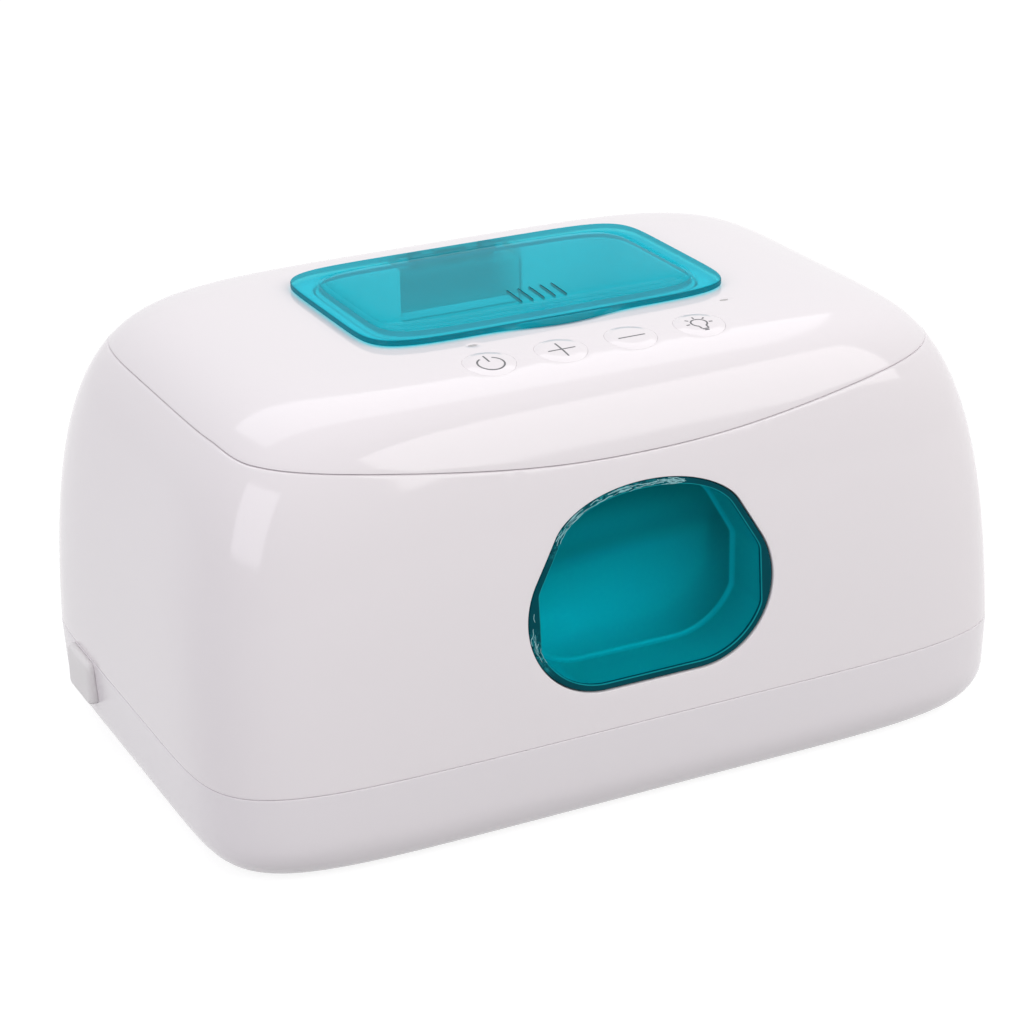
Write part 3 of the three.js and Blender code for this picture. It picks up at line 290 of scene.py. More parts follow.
# Shapes, as chunks of points and faces that are welded when the piece is made
class Shape:
    def __init__(self):
        self.points, self.faces, self.count = [], [], 0

    def add(self, points, faces):
        self.points.append(np.asarray(points, float))
        self.faces.extend([tuple(i + self.count for i in face) for face in faces])
        self.count += len(points)
        return self

    def loft(self, rings, closed=False, drop=None):
        """Quads between rings of as many points, each ring closed."""
        size = len(rings[0])
        faces = []
        for i in range(len(rings) if closed else len(rings) - 1):
            low, high = i * size, (i + 1) % len(rings) * size
            for j in range(size):
                if drop is None or not drop(i, j):
                    k = (j + 1) % size
                    faces.append((low + j, low + k, high + k, high + j))
        return self.add(np.vstack(rings), faces)

    def cap(self, loop):
        return self.add(loop, [tuple(range(len(loop)))])

    def wall(self, loop, *heights):
        """An upright wall on an outline of the plan."""
        return self.loft([at_height(loop, z) for z in heights])

    def cup(self, loop, mouth, end):
        """An upright wall that is closed at its end."""
        return self.wall(loop, mouth, end).cap(at_height(loop, end))

    def patch(self, outer, holes, spacing, lift):
        """Triangles over an outline with holes, lifted onto a surface."""
        margin = 0.6 * spacing
        low, high = outer.min(0), outer.max(0)
        rows = np.arange(low[1], high[1], spacing * math.sqrt(3) / 2)
        columns = np.arange(low[0], high[0], spacing)
        shifts = [(y, (i % 2) * spacing / 2) for i, y in enumerate(rows)]
        grid = np.array([(x + shift, y) for y, shift in shifts for x in columns]).reshape(-1, 2)
        loops = [outer, *holes]
        grid = grid[self.within(grid, outer, holes)]
        border = np.vstack(loops)
        if len(grid):
            near = np.array([np.min(np.hypot(*(border - p).T)) for p in grid])
            grid = grid[near > margin]
        edges, start = [], 0
        for loop in loops:
            size = len(loop)
            edges += [(start + i, start + (i + 1) % size) for i in range(size)]
            start += size
        flat = np.vstack([border, grid])
        verts, _, faces, *_ = delaunay_2d_cdt([Vector(p) for p in flat.tolist()], edges, [], 0, 1e-5)
        placed = np.array([tuple(v) for v in verts])
        middle = np.array([placed[list(f)].mean(0) for f in faces])
        kept = [faces[i] for i in np.nonzero(self.within(middle, outer, holes))[0]]
        return self.add(lift(*placed.T), kept)

    @staticmethod
    def within(points, outer, holes):
        """True for points inside an outline and outside its holes."""
        good = inside(points, outer)
        for hole in holes:
            good &= ~inside(points, hole)
        return good

    def block(self, low, high, bevel, steps=3):
        """A box with softened edges."""
        work = bmesh.new()
        low, high = Vector(low), Vector(high)
        bmesh.ops.create_cube(work, size=1.0)
        bmesh.ops.scale(work, vec=high - low, verts=work.verts)
        bmesh.ops.translate(work, vec=(low + high) / 2, verts=work.verts)
        bevelled = {"geom": work.edges[:], "offset": bevel, "segments": steps}
        bmesh.ops.bevel(work, profile=0.5, affect="EDGES", **bevelled)
        work.verts.ensure_lookup_table()
        self.add([v.co[:] for v in work.verts], [tuple(v.index for v in f.verts) for f in work.faces])
        work.free()
        return self

    def bar(self, radius, start, end, centre, bevel=0.3, count=40):
        """A round bar along X with softened ends."""
        first = [(radius - out, start + down) for out, down in round_steps(bevel, 3)]
        last = [(radius - out, end - down) for out, down in round_steps(bevel, 3)[::-1]]
        points, faces = turned([(0, start), *first, *last, (0, end)], count)
        return self.add(points[:, [2, 0, 1]] + centre, faces)


def flat(place, axis=2):
    """A function from places to points of a plane across an axis."""
    return lambda u, v: np.insert(np.stack([u, v], 1), axis, place, axis=1)


def at_height(loop, z):
    return np.column_stack([loop, np.broadcast_to(z, len(loop))])


def round_steps(radius, steps=EDGE_STEPS):
    """(out, down) pairs of a quarter round, from the face into the wall."""
    angles = [math.pi / 2 * (1 - i / steps) for i in range(steps + 1)]
    return [(radius * (1 - math.cos(angle)), radius * (1 - math.sin(angle))) for angle in angles]


def fillet_steps(radius, steps):
    """(in, up) pairs of a quarter round, from a wall into a floor, after the first."""
    return round_steps(radius, steps)[-2::-1]


def collar(loop, radius, surface, depth):
    """Loops from a surface round an edge into a hole whose wall follows an outline."""
    return [surface(*grown(loop, out).T) + np.array(depth) * down for out, down in round_steps(radius)]


def turned(profile, count):
    """Points and faces of a round form from (radius, height) pairs that start and end on the axis."""
    rings = [at_height(circle(radius, (0, 0), count), height) for radius, height in profile[1:-1]]
    points = np.vstack([*rings, (0, 0, profile[0][1]), (0, 0, profile[-1][1])])
    first, last, top = len(points) - 2, len(points) - 1, (len(rings) - 1) * count
    around = [(j, (j + 1) % count) for j in range(count)]
    below = range(0, top, count)
    faces = [(i + j, i + k, i + count + k, i + count + j) for i in below for j, k in around]
    faces += [(first, k, j) for j, k in around]
    faces += [(last, top + j, top + k) for j, k in around]
    return points, faces


def stroke(shape, points, surface, width=0.5):
    """A flat line of even width along points of a plan."""
    along = np.gradient(points, axis=0)
    normal = np.stack([-along[:, 1], along[:, 0]], 1) / np.linalg.norm(along, axis=1)[:, None]
    left, right = points + normal * width / 2, points - normal * width / 2
    section = ((left, 0.03), (right, 0.03), (right, -0.1), (left, -0.1))
    rows = np.stack([surface(*line.T) + (0, 0, lift) for line, lift in section], 1)
    shape.loft(rows).cap(rows[0]).cap(rows[-1])


def linked(name, data):
    """A new object in the scene."""
    made = bpy.data.objects.new(name, data)
    bpy.context.scene.collection.objects.link(made)
    return made


def make(name, shape, body, finish, replaces=()):
    """A smooth, welded mesh piece that rides a body."""
    material, slot = finish
    mesh = bpy.data.meshes.new(name)
    points = np.vstack(shape.points) * MM
    mesh.from_pydata(points.tolist(), [], shape.faces)
    work = bmesh.new()
    work.from_mesh(mesh)
    bmesh.ops.remove_doubles(work, verts=work.verts, dist=2e-6)
    bmesh.ops.dissolve_degenerate(work, edges=work.edges, dist=1e-7)
    bmesh.ops.recalc_face_normals(work, faces=work.faces)
    work.to_mesh(mesh)
    work.free()
    mesh.shade_smooth()
    mesh.set_sharp_from_angle(angle=SHARP_ANGLE)
    mesh.materials.append(material)
    piece = linked(name, mesh)
    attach(piece, body)
    if replaces:
        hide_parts(*replaces)


# Materials, each with the slot of the record that it stands for
class Nodes:
    """A node tree being built. A term is a number, a colour or a socket."""

    def __init__(self, tree):
        tree.nodes.clear()
        self.tree = tree

    def add(self, kind, inputs=None, **settings):
        """The outputs of a new node whose inputs are set or joined."""
        made = self.tree.nodes.new(f"ShaderNode{kind}")
        for key, value in settings.items():
            setattr(made, key, value)
        for key, term in (inputs or {}).items():
            socket = made.inputs[key]
            if isinstance(term, bpy.types.NodeSocket):
                self.tree.links.new(term, socket)
            else:
                socket.default_value = (*term, 1) if socket.type == "RGBA" else term
        return made.outputs

    @cached_property
    def where(self):
        return self.add("TexCoord")

    def axis(self, source, letter):
        """A part of the place on the piece (Object) or of the way it faces (Normal)."""
        return self.add("SeparateXYZ", {0: self.where[source]})[letter]

    def noise(self, scale, detail=3.0, roughness=0.5):
        inputs = {"Scale": scale, "Detail": detail, "Roughness": roughness}
        return self.add("TexNoise", {"Vector": self.where["Object"], **inputs})["Fac"]

    def ranged(self, source, low, high, from_low=0.35, from_high=0.65):
        """A number carried over from one range to another."""
        limits = {"From Min": from_low, "From Max": from_high, "To Min": low, "To Max": high}
        return self.add("MapRange", {"Value": source, **limits})["Result"]

    def sum(self, operation, *terms, clamp=False):
        """The result of a sum."""
        return self.add("Math", dict(enumerate(terms)), operation=operation, use_clamp=clamp)[0]

    def mix(self, share, first, second):
        """A colour between two."""
        return self.add("Mix", {0: share, 6: first, 7: second}, data_type="RGBA")[2]

    def blend(self, share, first, second):
        """A shader between two."""
        return self.add("MixShader", {0: share, 1: first, 2: second})[0]


def new_material(name):
    material = bpy.data.materials.new(name)
    material.use_nodes = True
    return material, Nodes(material.node_tree)


def moulded(name, colour, rough, spread=0.04, shade=0.96, tone_scale=18.0, grain=600.0, bump=0.03,
            metal=0.0, coat=0.0, specular=0.5, subsurface=0.0, pattern=None, slot=None):
    """A solid finish: a slow change of tone, roughness that varies and a fine grain."""
    material, t = new_material(name)
    tint = t.mix(t.noise(tone_scale), tuple(v * shade for v in colour), colour)
    # The pattern paints over the tint: pale marks on the rim, and painted light and shade on the pocket
    # and on the hinge block.
    if pattern:
        tint = pattern(t, tint)
    relief = {"Strength": bump, "Distance": 0.0002, "Height": t.noise(grain, detail=2.0)}
    main = {
        "Base Color": tint,
        "Roughness": t.ranged(t.noise(tone_scale * 4), rough - spread, rough + spread),
        "Normal": t.add("Bump", relief)["Normal"],
        "Metallic": metal,
        "Specular IOR Level": specular,
        "Coat Weight": coat,
        "Coat Roughness": 0.08,
    }
    if subsurface:
        main |= {"Subsurface Weight": subsurface, "Subsurface Radius": (0.004,) * 3}
        main["Subsurface Scale"] = 1.0
    t.add("OutputMaterial", {"Surface": t.add("BsdfPrincipled", main)["BSDF"]})
    return material, slot or name


def clear(name, through, body, cloud, edge_through=None, edge_body=None, edge_cloud=None,
          shine_share=0.4, thicker=None):
    """A clear tinted plastic: it passes tinted light, scatters some, and shines on its outer faces.

    Where its faces stand on edge it is deeper in colour, and so it is where it is thicker, which is
    given as a place and a colour."""
    material, t = new_material(name)
    outside = t.sum("SUBTRACT", 1.0, t.add("NewGeometry")["Backfacing"])
    upright = t.sum("ABSOLUTE", t.axis("Normal", "Z"))
    on_edge = t.ranged(upright, 1.0, 0.0, 0.6, 0.97)
    if thicker:
        thick = thicker[0](t)
        on_edge = t.sum("MAXIMUM", on_edge, thick)
    glass = t.add("BsdfTransparent", {"Color": t.mix(on_edge, through, edge_through or through)})["BSDF"]
    tone = t.mix(t.noise(40.0), tuple(v * 0.96 for v in body), body)
    tone = t.mix(on_edge, tone, edge_body or body)
    if thicker:
        tone = t.mix(thick, tone, thicker[1])
    scatter = [t.add(kind, {"Color": tone})["BSDF"] for kind in ("BsdfDiffuse", "BsdfTranslucent")]
    share = t.ranged(on_edge, cloud, edge_cloud or cloud, 0.0, 1.0)
    inner = t.blend(t.sum("MULTIPLY", outside, share), glass, t.blend(0.5, *scatter))
    shine = t.add("BsdfGlossy", {"Color": (1, 1, 1), "Roughness": 0.05})["BSDF"]
    polish = t.sum("MULTIPLY", t.add("Fresnel", {"IOR": 1.45})["Fac"], outside)
    t.add("OutputMaterial", {"Surface": t.blend(t.sum("MULTIPLY", polish, shine_share), inner, shine)})
    return material, "teal_clear"


def tab_thickness(t):
    """1 on the cover's thumb tab, in front of its straight edge."""
    edge = (COVER_Y - COVER_HALF[1]) * MM
    return t.ranged(t.axis("Object", "Y"), 1.0, 0.0, edge - 0.0006, edge + 0.0001)


# Painted light on the pocket's plate: the middle, reach and stretch of its lit pool, then the painted
# shade band across it.
PAINTED_LIGHT_AT, PAINTED_LIGHT_REACH, PAINTED_LIGHT_STRETCH = (-0.024, 0.053), 0.042, 0.48
SHADE_STRIP_HEIGHT, SHADE_STRIP_SLOPE, SHADE_STRIP_HALF = 0.0762, 0.08, 0.0058


def pocket_painted_light(t, tint):
    """Painted light and shade: a lit pool low on the left, a shade band above it, shaded walls and a
    highlit fillet.
    """
    x, z = t.axis("Object", "X"), t.axis("Object", "Z")
    across = t.sum("MULTIPLY", t.sum("SUBTRACT", x, PAINTED_LIGHT_AT[0]), PAINTED_LIGHT_STRETCH)
    upward = t.sum("SUBTRACT", z, PAINTED_LIGHT_AT[1])
    squares = [t.sum("MULTIPLY", part, part) for part in (across, upward)]
    reach = t.sum("SQRT", t.sum("ADD", *squares))
    # Painted pool of light: the plate darkens away from it.
    far = t.sum("POWER", t.ranged(reach, 0.0, 1.0, 0.004, PAINTED_LIGHT_REACH), 0.8)
    plate = t.mix(far, tint, (0.002, 0.105, 0.103))
    # Painted shade band across the upper plate.
    middle = t.sum("ADD", t.sum("MULTIPLY", x, SHADE_STRIP_SLOPE), SHADE_STRIP_HEIGHT)
    away = t.sum("ABSOLUTE", t.sum("SUBTRACT", z, middle))
    plate = t.mix(t.ranged(away, 0.45, 0.0, 0.0008, SHADE_STRIP_HALF), plate, (0.002, 0.12, 0.13))
    # Painted highlight on the fillet, then painted shade on the walls.
    facing = t.sum("ABSOLUTE", t.axis("Normal", "Y"))
    plate = t.mix(t.ranged(facing, 1.0, 0.0, 0.9, 0.985), plate, (0.003, 0.48, 0.52))
    return t.mix(t.ranged(facing, 1.0, 0.0, 0.1, 0.3), plate, (0.002, 0.41, 0.425))


def hinge_shade_fade(t, tint):
    """Painted shade on the hinge block: its dark pales towards its right end and its foot, where the
    shade at the back of the well fades.
    """
    right = t.ranged(t.axis("Object", "X"), 0.0, 0.8, 0.009, 0.019)
    foot = t.ranged(t.axis("Object", "Z"), 0.35, 0.0, 0.113, 0.119)
    return t.mix(t.sum("MAXIMUM", right, foot), tint, (0.62, 0.63, 0.63))


def rim_pattern(t, tint):
    """Pale cloudy marks along the upper left of the rim and at its lower left."""
    x, z = t.axis("Object", "X"), t.axis("Object", "Z")
    high = t.sum("MULTIPLY", t.ranged(x, 1.0, 0.0, -0.004, 0.014), t.ranged(z, 0.0, 1.0, 0.078, 0.084))
    low = t.sum("MULTIPLY", t.ranged(x, 1.0, 0.0, -0.034, -0.03), t.ranged(z, 1.0, 0.0, 0.056, 0.062))
    marks = t.ranged(t.noise(760.0, detail=6.0, roughness=0.75), 0.0, 1.0, 0.46, 0.62)
    return t.mix(t.sum("MULTIPLY", marks, t.sum("ADD", high, low, clamp=True)), tint, (0.02, 0.32, 0.36))


white_gloss = moulded("white_gloss", (0.88, 0.835, 0.86), 0.1, spread=0.02, shade=0.985,
                      tone_scale=9.0, bump=0.015)
white_base = moulded("white_base", (0.87, 0.83, 0.86), 0.22, spread=0.03, shade=0.985,
                     tone_scale=9.0, bump=0.015, slot="white_gloss")
white_satin = moulded("white_satin", (0.84, 0.83, 0.85), 0.42, spread=0.05, shade=0.98,
                      grain=900.0, bump=0.06)
white_well = moulded("white_well", (0.82, 0.82, 0.83), 0.4, spread=0.05, shade=0.98, slot="white_gloss")
silicone = moulded("silicone", (0.89, 0.865, 0.87), 0.5, spread=0.06, shade=0.97,
                   grain=1200.0, bump=0.08, subsurface=0.1)
rubber = moulded("rubber", (0.2, 0.205, 0.215), 0.8, shade=0.85, grain=1500.0, bump=0.25)
steel = moulded("steel", (0.68, 0.69, 0.71), 0.3, spread=0.08, shade=0.88, metal=1.0, tone_scale=120.0)
aluminium = moulded("aluminium", (0.74, 0.75, 0.77), 0.45, spread=0.08, shade=0.9,
                    metal=1.0, grain=300.0)
board = moulded("board", (0.02, 0.14, 0.07), 0.35, shade=0.7, tone_scale=90.0, coat=0.3)
black_plastic = moulded("black_plastic", (0.018, 0.019, 0.021), 0.4, shade=0.75, grain=1300.0, bump=0.12)
grey_plastic = moulded("grey_plastic", (0.24, 0.25, 0.255), 0.45, shade=0.9, grain=1000.0, bump=0.1)
# Dark grey that stands in for the shade at the back of the well, with a painted fade.
grey_painted_shade = moulded("grey_painted_shade", (0.2, 0.21, 0.215), 0.45, shade=0.9, grain=1000.0, bump=0.1,
                     pattern=hinge_shade_fade, slot="grey_plastic")
foam = moulded("foam", (0.62, 0.58, 0.5), 0.95, shade=0.8, tone_scale=200.0, grain=700.0, bump=0.6)
lamp = moulded("lamp", (0.9, 0.88, 0.72), 0.2, shade=0.9)
lead_skin = moulded("lead_skin", (0.02, 0.02, 0.023), 0.5, shade=0.8, grain=900.0, bump=0.1)
ink = moulded("ink", (0.13, 0.13, 0.14), 0.45, shade=0.9, slot="grey_plastic")
clear_cover = clear("clear_cover", (0.28, 0.92, 0.95), (0.02, 0.76, 0.91), 0.42, (0.0, 0.32, 0.38),
                    (0.0, 0.22, 0.28), edge_cloud=0.8, shine_share=0.24,
                    thicker=(tab_thickness, (0.0, 0.46, 0.55)))
clear_hook = clear("clear_hook", (0.4, 0.95, 0.97), (0.02, 0.7, 0.84), 0.12)
clear_pane = clear("clear_pane", (0.06, 0.93, 0.97), (0.0, 0.3, 0.36), 0.03, shine_share=0.03)
# The pocket's colour carries painted light and shade.
teal_pocket = moulded("teal_pocket", (0.003, 0.625, 0.67), 0.14, spread=0.03, shade=0.93,
                      tone_scale=14.0, bump=0.003, pattern=pocket_painted_light, slot="teal_clear")
teal_rim = moulded("teal_rim", (0.0005, 0.085, 0.11), 0.12, spread=0.03, shade=0.7, tone_scale=90.0,
                   bump=0.02, specular=0.03, pattern=rim_pattern, slot="teal_clear")
# A painted highlight along the window rim's inner edge.
teal_edge_highlight = moulded("teal_edge_highlight", (0.008, 0.36, 0.41), 0.2, shade=0.6, tone_scale=90.0,
                    specular=0.05, slot="teal_clear")
teal_pale_streak = moulded("teal_pale_streak", (0.34, 0.68, 0.72), 0.4, shade=0.7, tone_scale=400.0,
                    specular=0.2, slot="teal_clear")
# Painted shade for the slits' floors.
slit_shade_teal = moulded("slit_shade_teal", (0.002, 0.12, 0.15), 0.3, shade=0.85, specular=0.1, slot="teal_clear")
pipe_grey = moulded("pipe_grey", (0.5, 0.48, 0.48), 0.35, shade=0.9, slot="grey_plastic")


# Body: the tall wall with the window
def block_border(rings, low, high, start, stop):
    """The border of a block of a grid's quads, as points, going once round.

    Where low lies past high, as on the inner walls, its two sides are left straight."""
    bottom = [rings[low][j] for j in range(start, stop + 1)]
    right = [rings[i][stop] for i in range(low + 1, high)]
    top = [rings[high][j] for j in range(stop, start - 1, -1)]
    left = [rings[i][start] for i in range(high - 1, low, -1)]
    return np.array(bottom + right + top + left)


def ends_of(near):
    """First and last column of those that are near a hole."""
    columns = np.nonzero(near)[0]
    return int(columns.min()), int(columns.max())


def in_blocks(start, stop, *blocks):
    """A test for quads between two columns and in any of some pairs of rows."""
    return lambda i, j: start <= j < stop and any(low <= i < high for low, high in blocks)


def body_shell():
    """The wall from the base's seam to the lid's, with an opening for the window."""
    low = BASE_SEAM + BASE_GAP / 2
    high = seam_columns(-LID_GAP / 2)
    start, stop = low + EDGE_ROUND, high - EDGE_ROUND
    up = round_steps(EDGE_ROUND)
    rings = [ring(low + down, out) for out, down in up]
    first = len(rings) - 1
    shares = [0.008, *np.linspace(0, 1, 31)[1:-1], 0.992]
    rings += [ring(start + (stop - start) * share) for share in shares] + [ring(stop)]
    last = len(rings) - 1
    rings += [ring(high - down, out) for out, down in up[-2::-1]] + [ring(high, SHELL_WALL - EDGE_ROUND)]
    inner_first = len(rings)
    rings += [ring(stop - (stop - start) * share, SHELL_WALL) for share in np.linspace(0, 1, 9)]
    inner_last = len(rings) - 1
    rings.append(ring(low, SHELL_WALL - EDGE_ROUND))
    middle = ring(60.0)
    left, right = ends_of((middle[:, 1] < 0) & (np.abs(middle[:, 0]) <= 56))
    shape = Shape().loft(rings, True, in_blocks(left, right, (first, last), (inner_first, inner_last)))
    hole = window_outline()
    back = lambda x, z: front_wall(x, z, SHELL_WALL)
    outer = block_border(rings, first, last, left, right)[:, [0, 2]]
    shape.patch(outer, [grown(hole, EDGE_ROUND)], 2.6, front_wall)
    inner = block_border(rings, inner_last, inner_first, left, right)[:, [0, 2]]
    shape.patch(inner, [hole], 6.0, back)
    return shape.loft([*collar(hole, EDGE_ROUND, front_wall, (0, 1, 0)), back(*hole.T)])


make("body_shell", body_shell(), "housing", white_gloss, ["outer_shell"])


# Base: a shallow tray with vents, foot recesses, screw holes and the inlet
FOOT_AT, FOOT_R, FOOT_RECESS = (91.0, 52.0), 6.7, 1.5
SCREW_AT, SCREW_HEAD, SCREW_SEAT, BOSS_R = (111.0, 54.0), 3.0, 9.0, 4.6
VENT_X, VENT_HALF, VENT_PITCH, VENT_COUNT = 102.0, (9.0, 1.2), 7.0, 5
CORNERS = {"front_left": (-1, -1), "front_right": (1, -1), "rear_left": (-1, 1), "rear_right": (1, 1)}


def base_shell():
    """The tray, with a hole for the inlet in its wall and recesses in its floor."""
    heights = [STAND_OFF, 1.6, 2.2, 3.0, 4.0, 5.2, 6.6, 8.2, 10.0]
    heights += [12.0, 14.5, 17.5, 20.5, 23.5, 25.8, 26.8]
    top = BASE_SEAM - BASE_GAP / 2
    rings = [ring(z) for z in heights] + [ring(top - EDGE_ROUND)]
    last = len(rings) - 1
    rings += [ring(top - down, out) for out, down in round_steps(EDGE_ROUND)[-2::-1]]
    rings.append(ring(top, BASE_WALL - EDGE_ROUND))
    in_high = len(rings)
    floor = STAND_OFF + BASE_FLOOR
    rings += [ring(z, BASE_WALL) for z in (top - EDGE_ROUND, 22.0, 18.0, 14.0, 10.0, 7.5, 5.6, floor)]
    out_low, in_low = heights.index(10.0), in_high + 4
    reference = ring(20.5)
    start, stop = ends_of((reference[:, 0] < 0) & (np.abs(reference[:, 1] - INLET[0]) <= 12))
    shape = Shape().loft(rings, drop=in_blocks(start, stop, (out_low, last), (in_high, in_low)))
    hole = circle(INLET_R, INLET, 48)
    back = lambda y, z: left_wall(y, z, BASE_WALL)
    outer = block_border(rings, out_low, last, start, stop)[::-1, [1, 2]]
    shape.patch(outer, [grown(hole, EDGE_ROUND)], 2.0, left_wall)
    inner = block_border(rings, in_low, in_high, start, stop)[::-1, [1, 2]]
    shape.patch(inner, [hole], 3.0, back)
    shape.loft([*collar(hole, EDGE_ROUND, left_wall, (1, 0, 0)), back(*hole.T)])

    steps = (np.arange(VENT_COUNT) - (VENT_COUNT - 1) / 2) * VENT_PITCH
    vents = [round_rectangle(*VENT_HALF, 1.1, (side * VENT_X, y), 6) for side in (-1, 1) for y in steps]
    feet = [circle(FOOT_R + 0.3, np.multiply(corner, FOOT_AT), 48) for corner in CORNERS.values()]
    seats = [circle(SCREW_HEAD + 0.3, np.multiply(corner, SCREW_AT), 40) for corner in CORNERS.values()]
    bosses = [circle(BOSS_R, np.multiply(corner, SCREW_AT), 40) for corner in CORNERS.values()]
    under = flat(STAND_OFF)
    rounding = 0.3
    openings = [*vents, *feet, *seats]
    shape.patch(rings[0][:, :2], [grown(loop, rounding) for loop in openings], 5.0, under)
    shape.patch(rings[-1][:, :2], [*vents, *bosses], 8.0, flat(floor))
    for loop in openings:
        shape.loft(collar(loop, rounding, under, (0, 0, 1)))
    for loop in vents:
        shape.wall(loop, STAND_OFF + rounding, floor)
    for loop in feet:
        shape.cup(loop, STAND_OFF + rounding, STAND_OFF + FOOT_RECESS)
    for loop, boss in zip(seats, bosses):
        shape.cup(loop, STAND_OFF + rounding, SCREW_SEAT)
        shape.cup(boss, floor, top - 1)
    return shape


make("base_shell", base_shell(), "housing", white_base, ["base_tray"])


# Feet and the screws under the base
def foot(middle):
    """A rubber foot with a shallow ring in its sole."""
    high = STAND_OFF + FOOT_RECESS - 0.3
    sole = [(0, 0), (3.2, 0), (3.4, 0.25), (3.8, 0.25), (4.0, 0)]
    edge = [(FOOT_R - 0.5, 0), (FOOT_R - 0.15, 0.15), (FOOT_R, 0.5), (FOOT_R, high)]
    points, faces = turned([*sole, *edge, (0, high)], 56)
    return Shape().add(points + (*middle, 0), faces)


def screw(middle, name, head_radius, head_height, shank_radius):
    """A pan-head screw that looks down, with a cross recess, as tall as its solid."""
    shape = Shape()
    low, high = (corner[2] for corner in cad_box(name))
    arm, width, deep = head_radius * 0.55, head_radius * 0.14, 0.9
    cross = np.array([
        (arm, -width), (arm, width), (width, width), (width, arm), (-width, arm), (-width, width),
        (-arm, width), (-arm, -width), (-width, -width), (-width, -arm), (width, -arm), (width, -width),
    ])
    shape.patch(circle(head_radius - 0.5, middle, 36), [cross + middle], 0.8, flat(low))
    shape.loft([at_height(cross + middle, low), at_height(cross * 0.8 + middle, low + deep)])
    shape.cap(at_height(cross * 0.8 + middle, low + deep))
    under, flank = head_radius - 0.2, head_height - 0.2
    rows = [(head_radius - 0.5, 0), (under, 0.12), (head_radius, 0.5), (head_radius, flank)]
    rows += [(under, head_height), (shank_radius, head_height), (shank_radius, high - low)]
    shape.loft([at_height(circle(r, middle, 36), low + z) for r, z in rows])
    return shape.cap(at_height(circle(shank_radius, middle, 36), high))


for name, corner in CORNERS.items():
    make(f"foot_pad_{name}", foot(np.multiply(corner, FOOT_AT)), "housing", rubber, [f"foot_{name}"])
    driver = screw(np.multiply(corner, SCREW_AT), f"base_screw_{name}", SCREW_HEAD, 2.0, 1.5)
    make(f"base_fixing_{name}", driver, "housing", steel, [f"base_screw_{name}"])


# Tub: a cup with round corners on a flange that fills the shell
def tub_outline(grow):
    low, high = cad_box("lid_gasket")
    half = (high[1] - low[1]) / 2 - 3.6
    middle = (0, (low[1] + high[1]) / 2)
    return round_rectangle(TUB_HALF + grow, half + grow, TUB_CORNER + grow, middle, 12, 10)


def tub_liner():
    """The tub that holds the wipes, open at the top, with a plate round its mouth."""
    shape = Shape()
    bottom, top = (corner[2] for corner in cad_box("inner_tub"))
    rim, fillet, floor, soft = 1.0, 9.0, bottom + 2.0, 6.0
    plate = ring(top - 1.0, SHELL_WALL + SEAM_GAP)[:, :2]
    mouth = tub_outline(-TUB_WALL)
    shape.patch(plate, [grown(mouth, rim)], 6.0, flat(top))
    rows = collar(mouth, rim, flat(top), (0, 0, -1))
    rows += [at_height(mouth, z) for z in np.linspace(top - rim, floor + fillet, 8)[1:]]
    for inset, up in fillet_steps(fillet, 8):
        rows.append(at_height(tub_outline(-TUB_WALL - inset), floor + up))
    shape.loft(rows)
    shape.patch(tub_outline(-TUB_WALL - fillet), [], 10.0, flat(floor))
    outer = [at_height(tub_outline(0), top - 2.0), at_height(tub_outline(0), bottom + soft)]
    outer += [at_height(tub_outline(-inset), bottom + up) for inset, up in fillet_steps(soft, 4)]
    shape.loft(outer)
    shape.patch(tub_outline(-soft), [], 14.0, flat(bottom))
    shape.patch(plate, [tub_outline(0)], 8.0, flat(top - 2.0))
    return shape.wall(plate, top - 2.0, top)


make("tub_liner", tub_liner(), "housing", white_satin, ["inner_tub"])


# Window: a dark rim, a clear pane and the light box behind it
RECESS, RIM_THICK, SKIRT, POCKET_FILLET = 0.4, 0.9, 5.0, 1.6
# Where the rim's pale streaks lie: first and last outline point, and how many streaks.
PALE_MARKS = ((73, 114, 52), (135, 146, 9))
pocket_back = cad_box("light_box")[1][1]


def window_rim():
    """The dark frame between the window's outline and the clear pane."""
    outer, inner = window_outline(SEAM_GAP), window_outline(WINDOW_RIM, OPENING_HALF)
    skin = lambda loop, deep=0.0: front_wall(*loop.T, RECESS) + (0, deep, 0)
    rows = [skin(grown(outer, -out), down) for out, down in round_steps(0.5)[::-1]]
    for share in (0.15, 0.5, 0.85):
        rows.append(skin((1 - share) * grown(outer, -0.5) + share * grown(inner, 0.4)))
    rows += [skin(grown(inner, out), down) for out, down in round_steps(0.4)]
    behind = window_outline(WINDOW_RIM - 1.2)
    for loop, deep in ((inner, RIM_THICK), (behind, RIM_THICK), (behind, SKIRT), (outer, SKIRT)):
        rows.append(front_wall(*loop.T, RECESS + deep))
    return Shape().loft(rows, closed=True)


def window_edge_highlight():
    """A painted highlight: a fine pale line along the rim's inner edge."""
    inner = window_outline(WINDOW_RIM, OPENING_HALF)
    section = ((0.3, -0.03), (0.08, 0.04), (0.02, 0.3), (0.3, 0.3))
    rows = [front_wall(*grown(inner, out).T, RECESS) + (0, deep, 0) for out, deep in section]
    return Shape().loft(rows, closed=True)


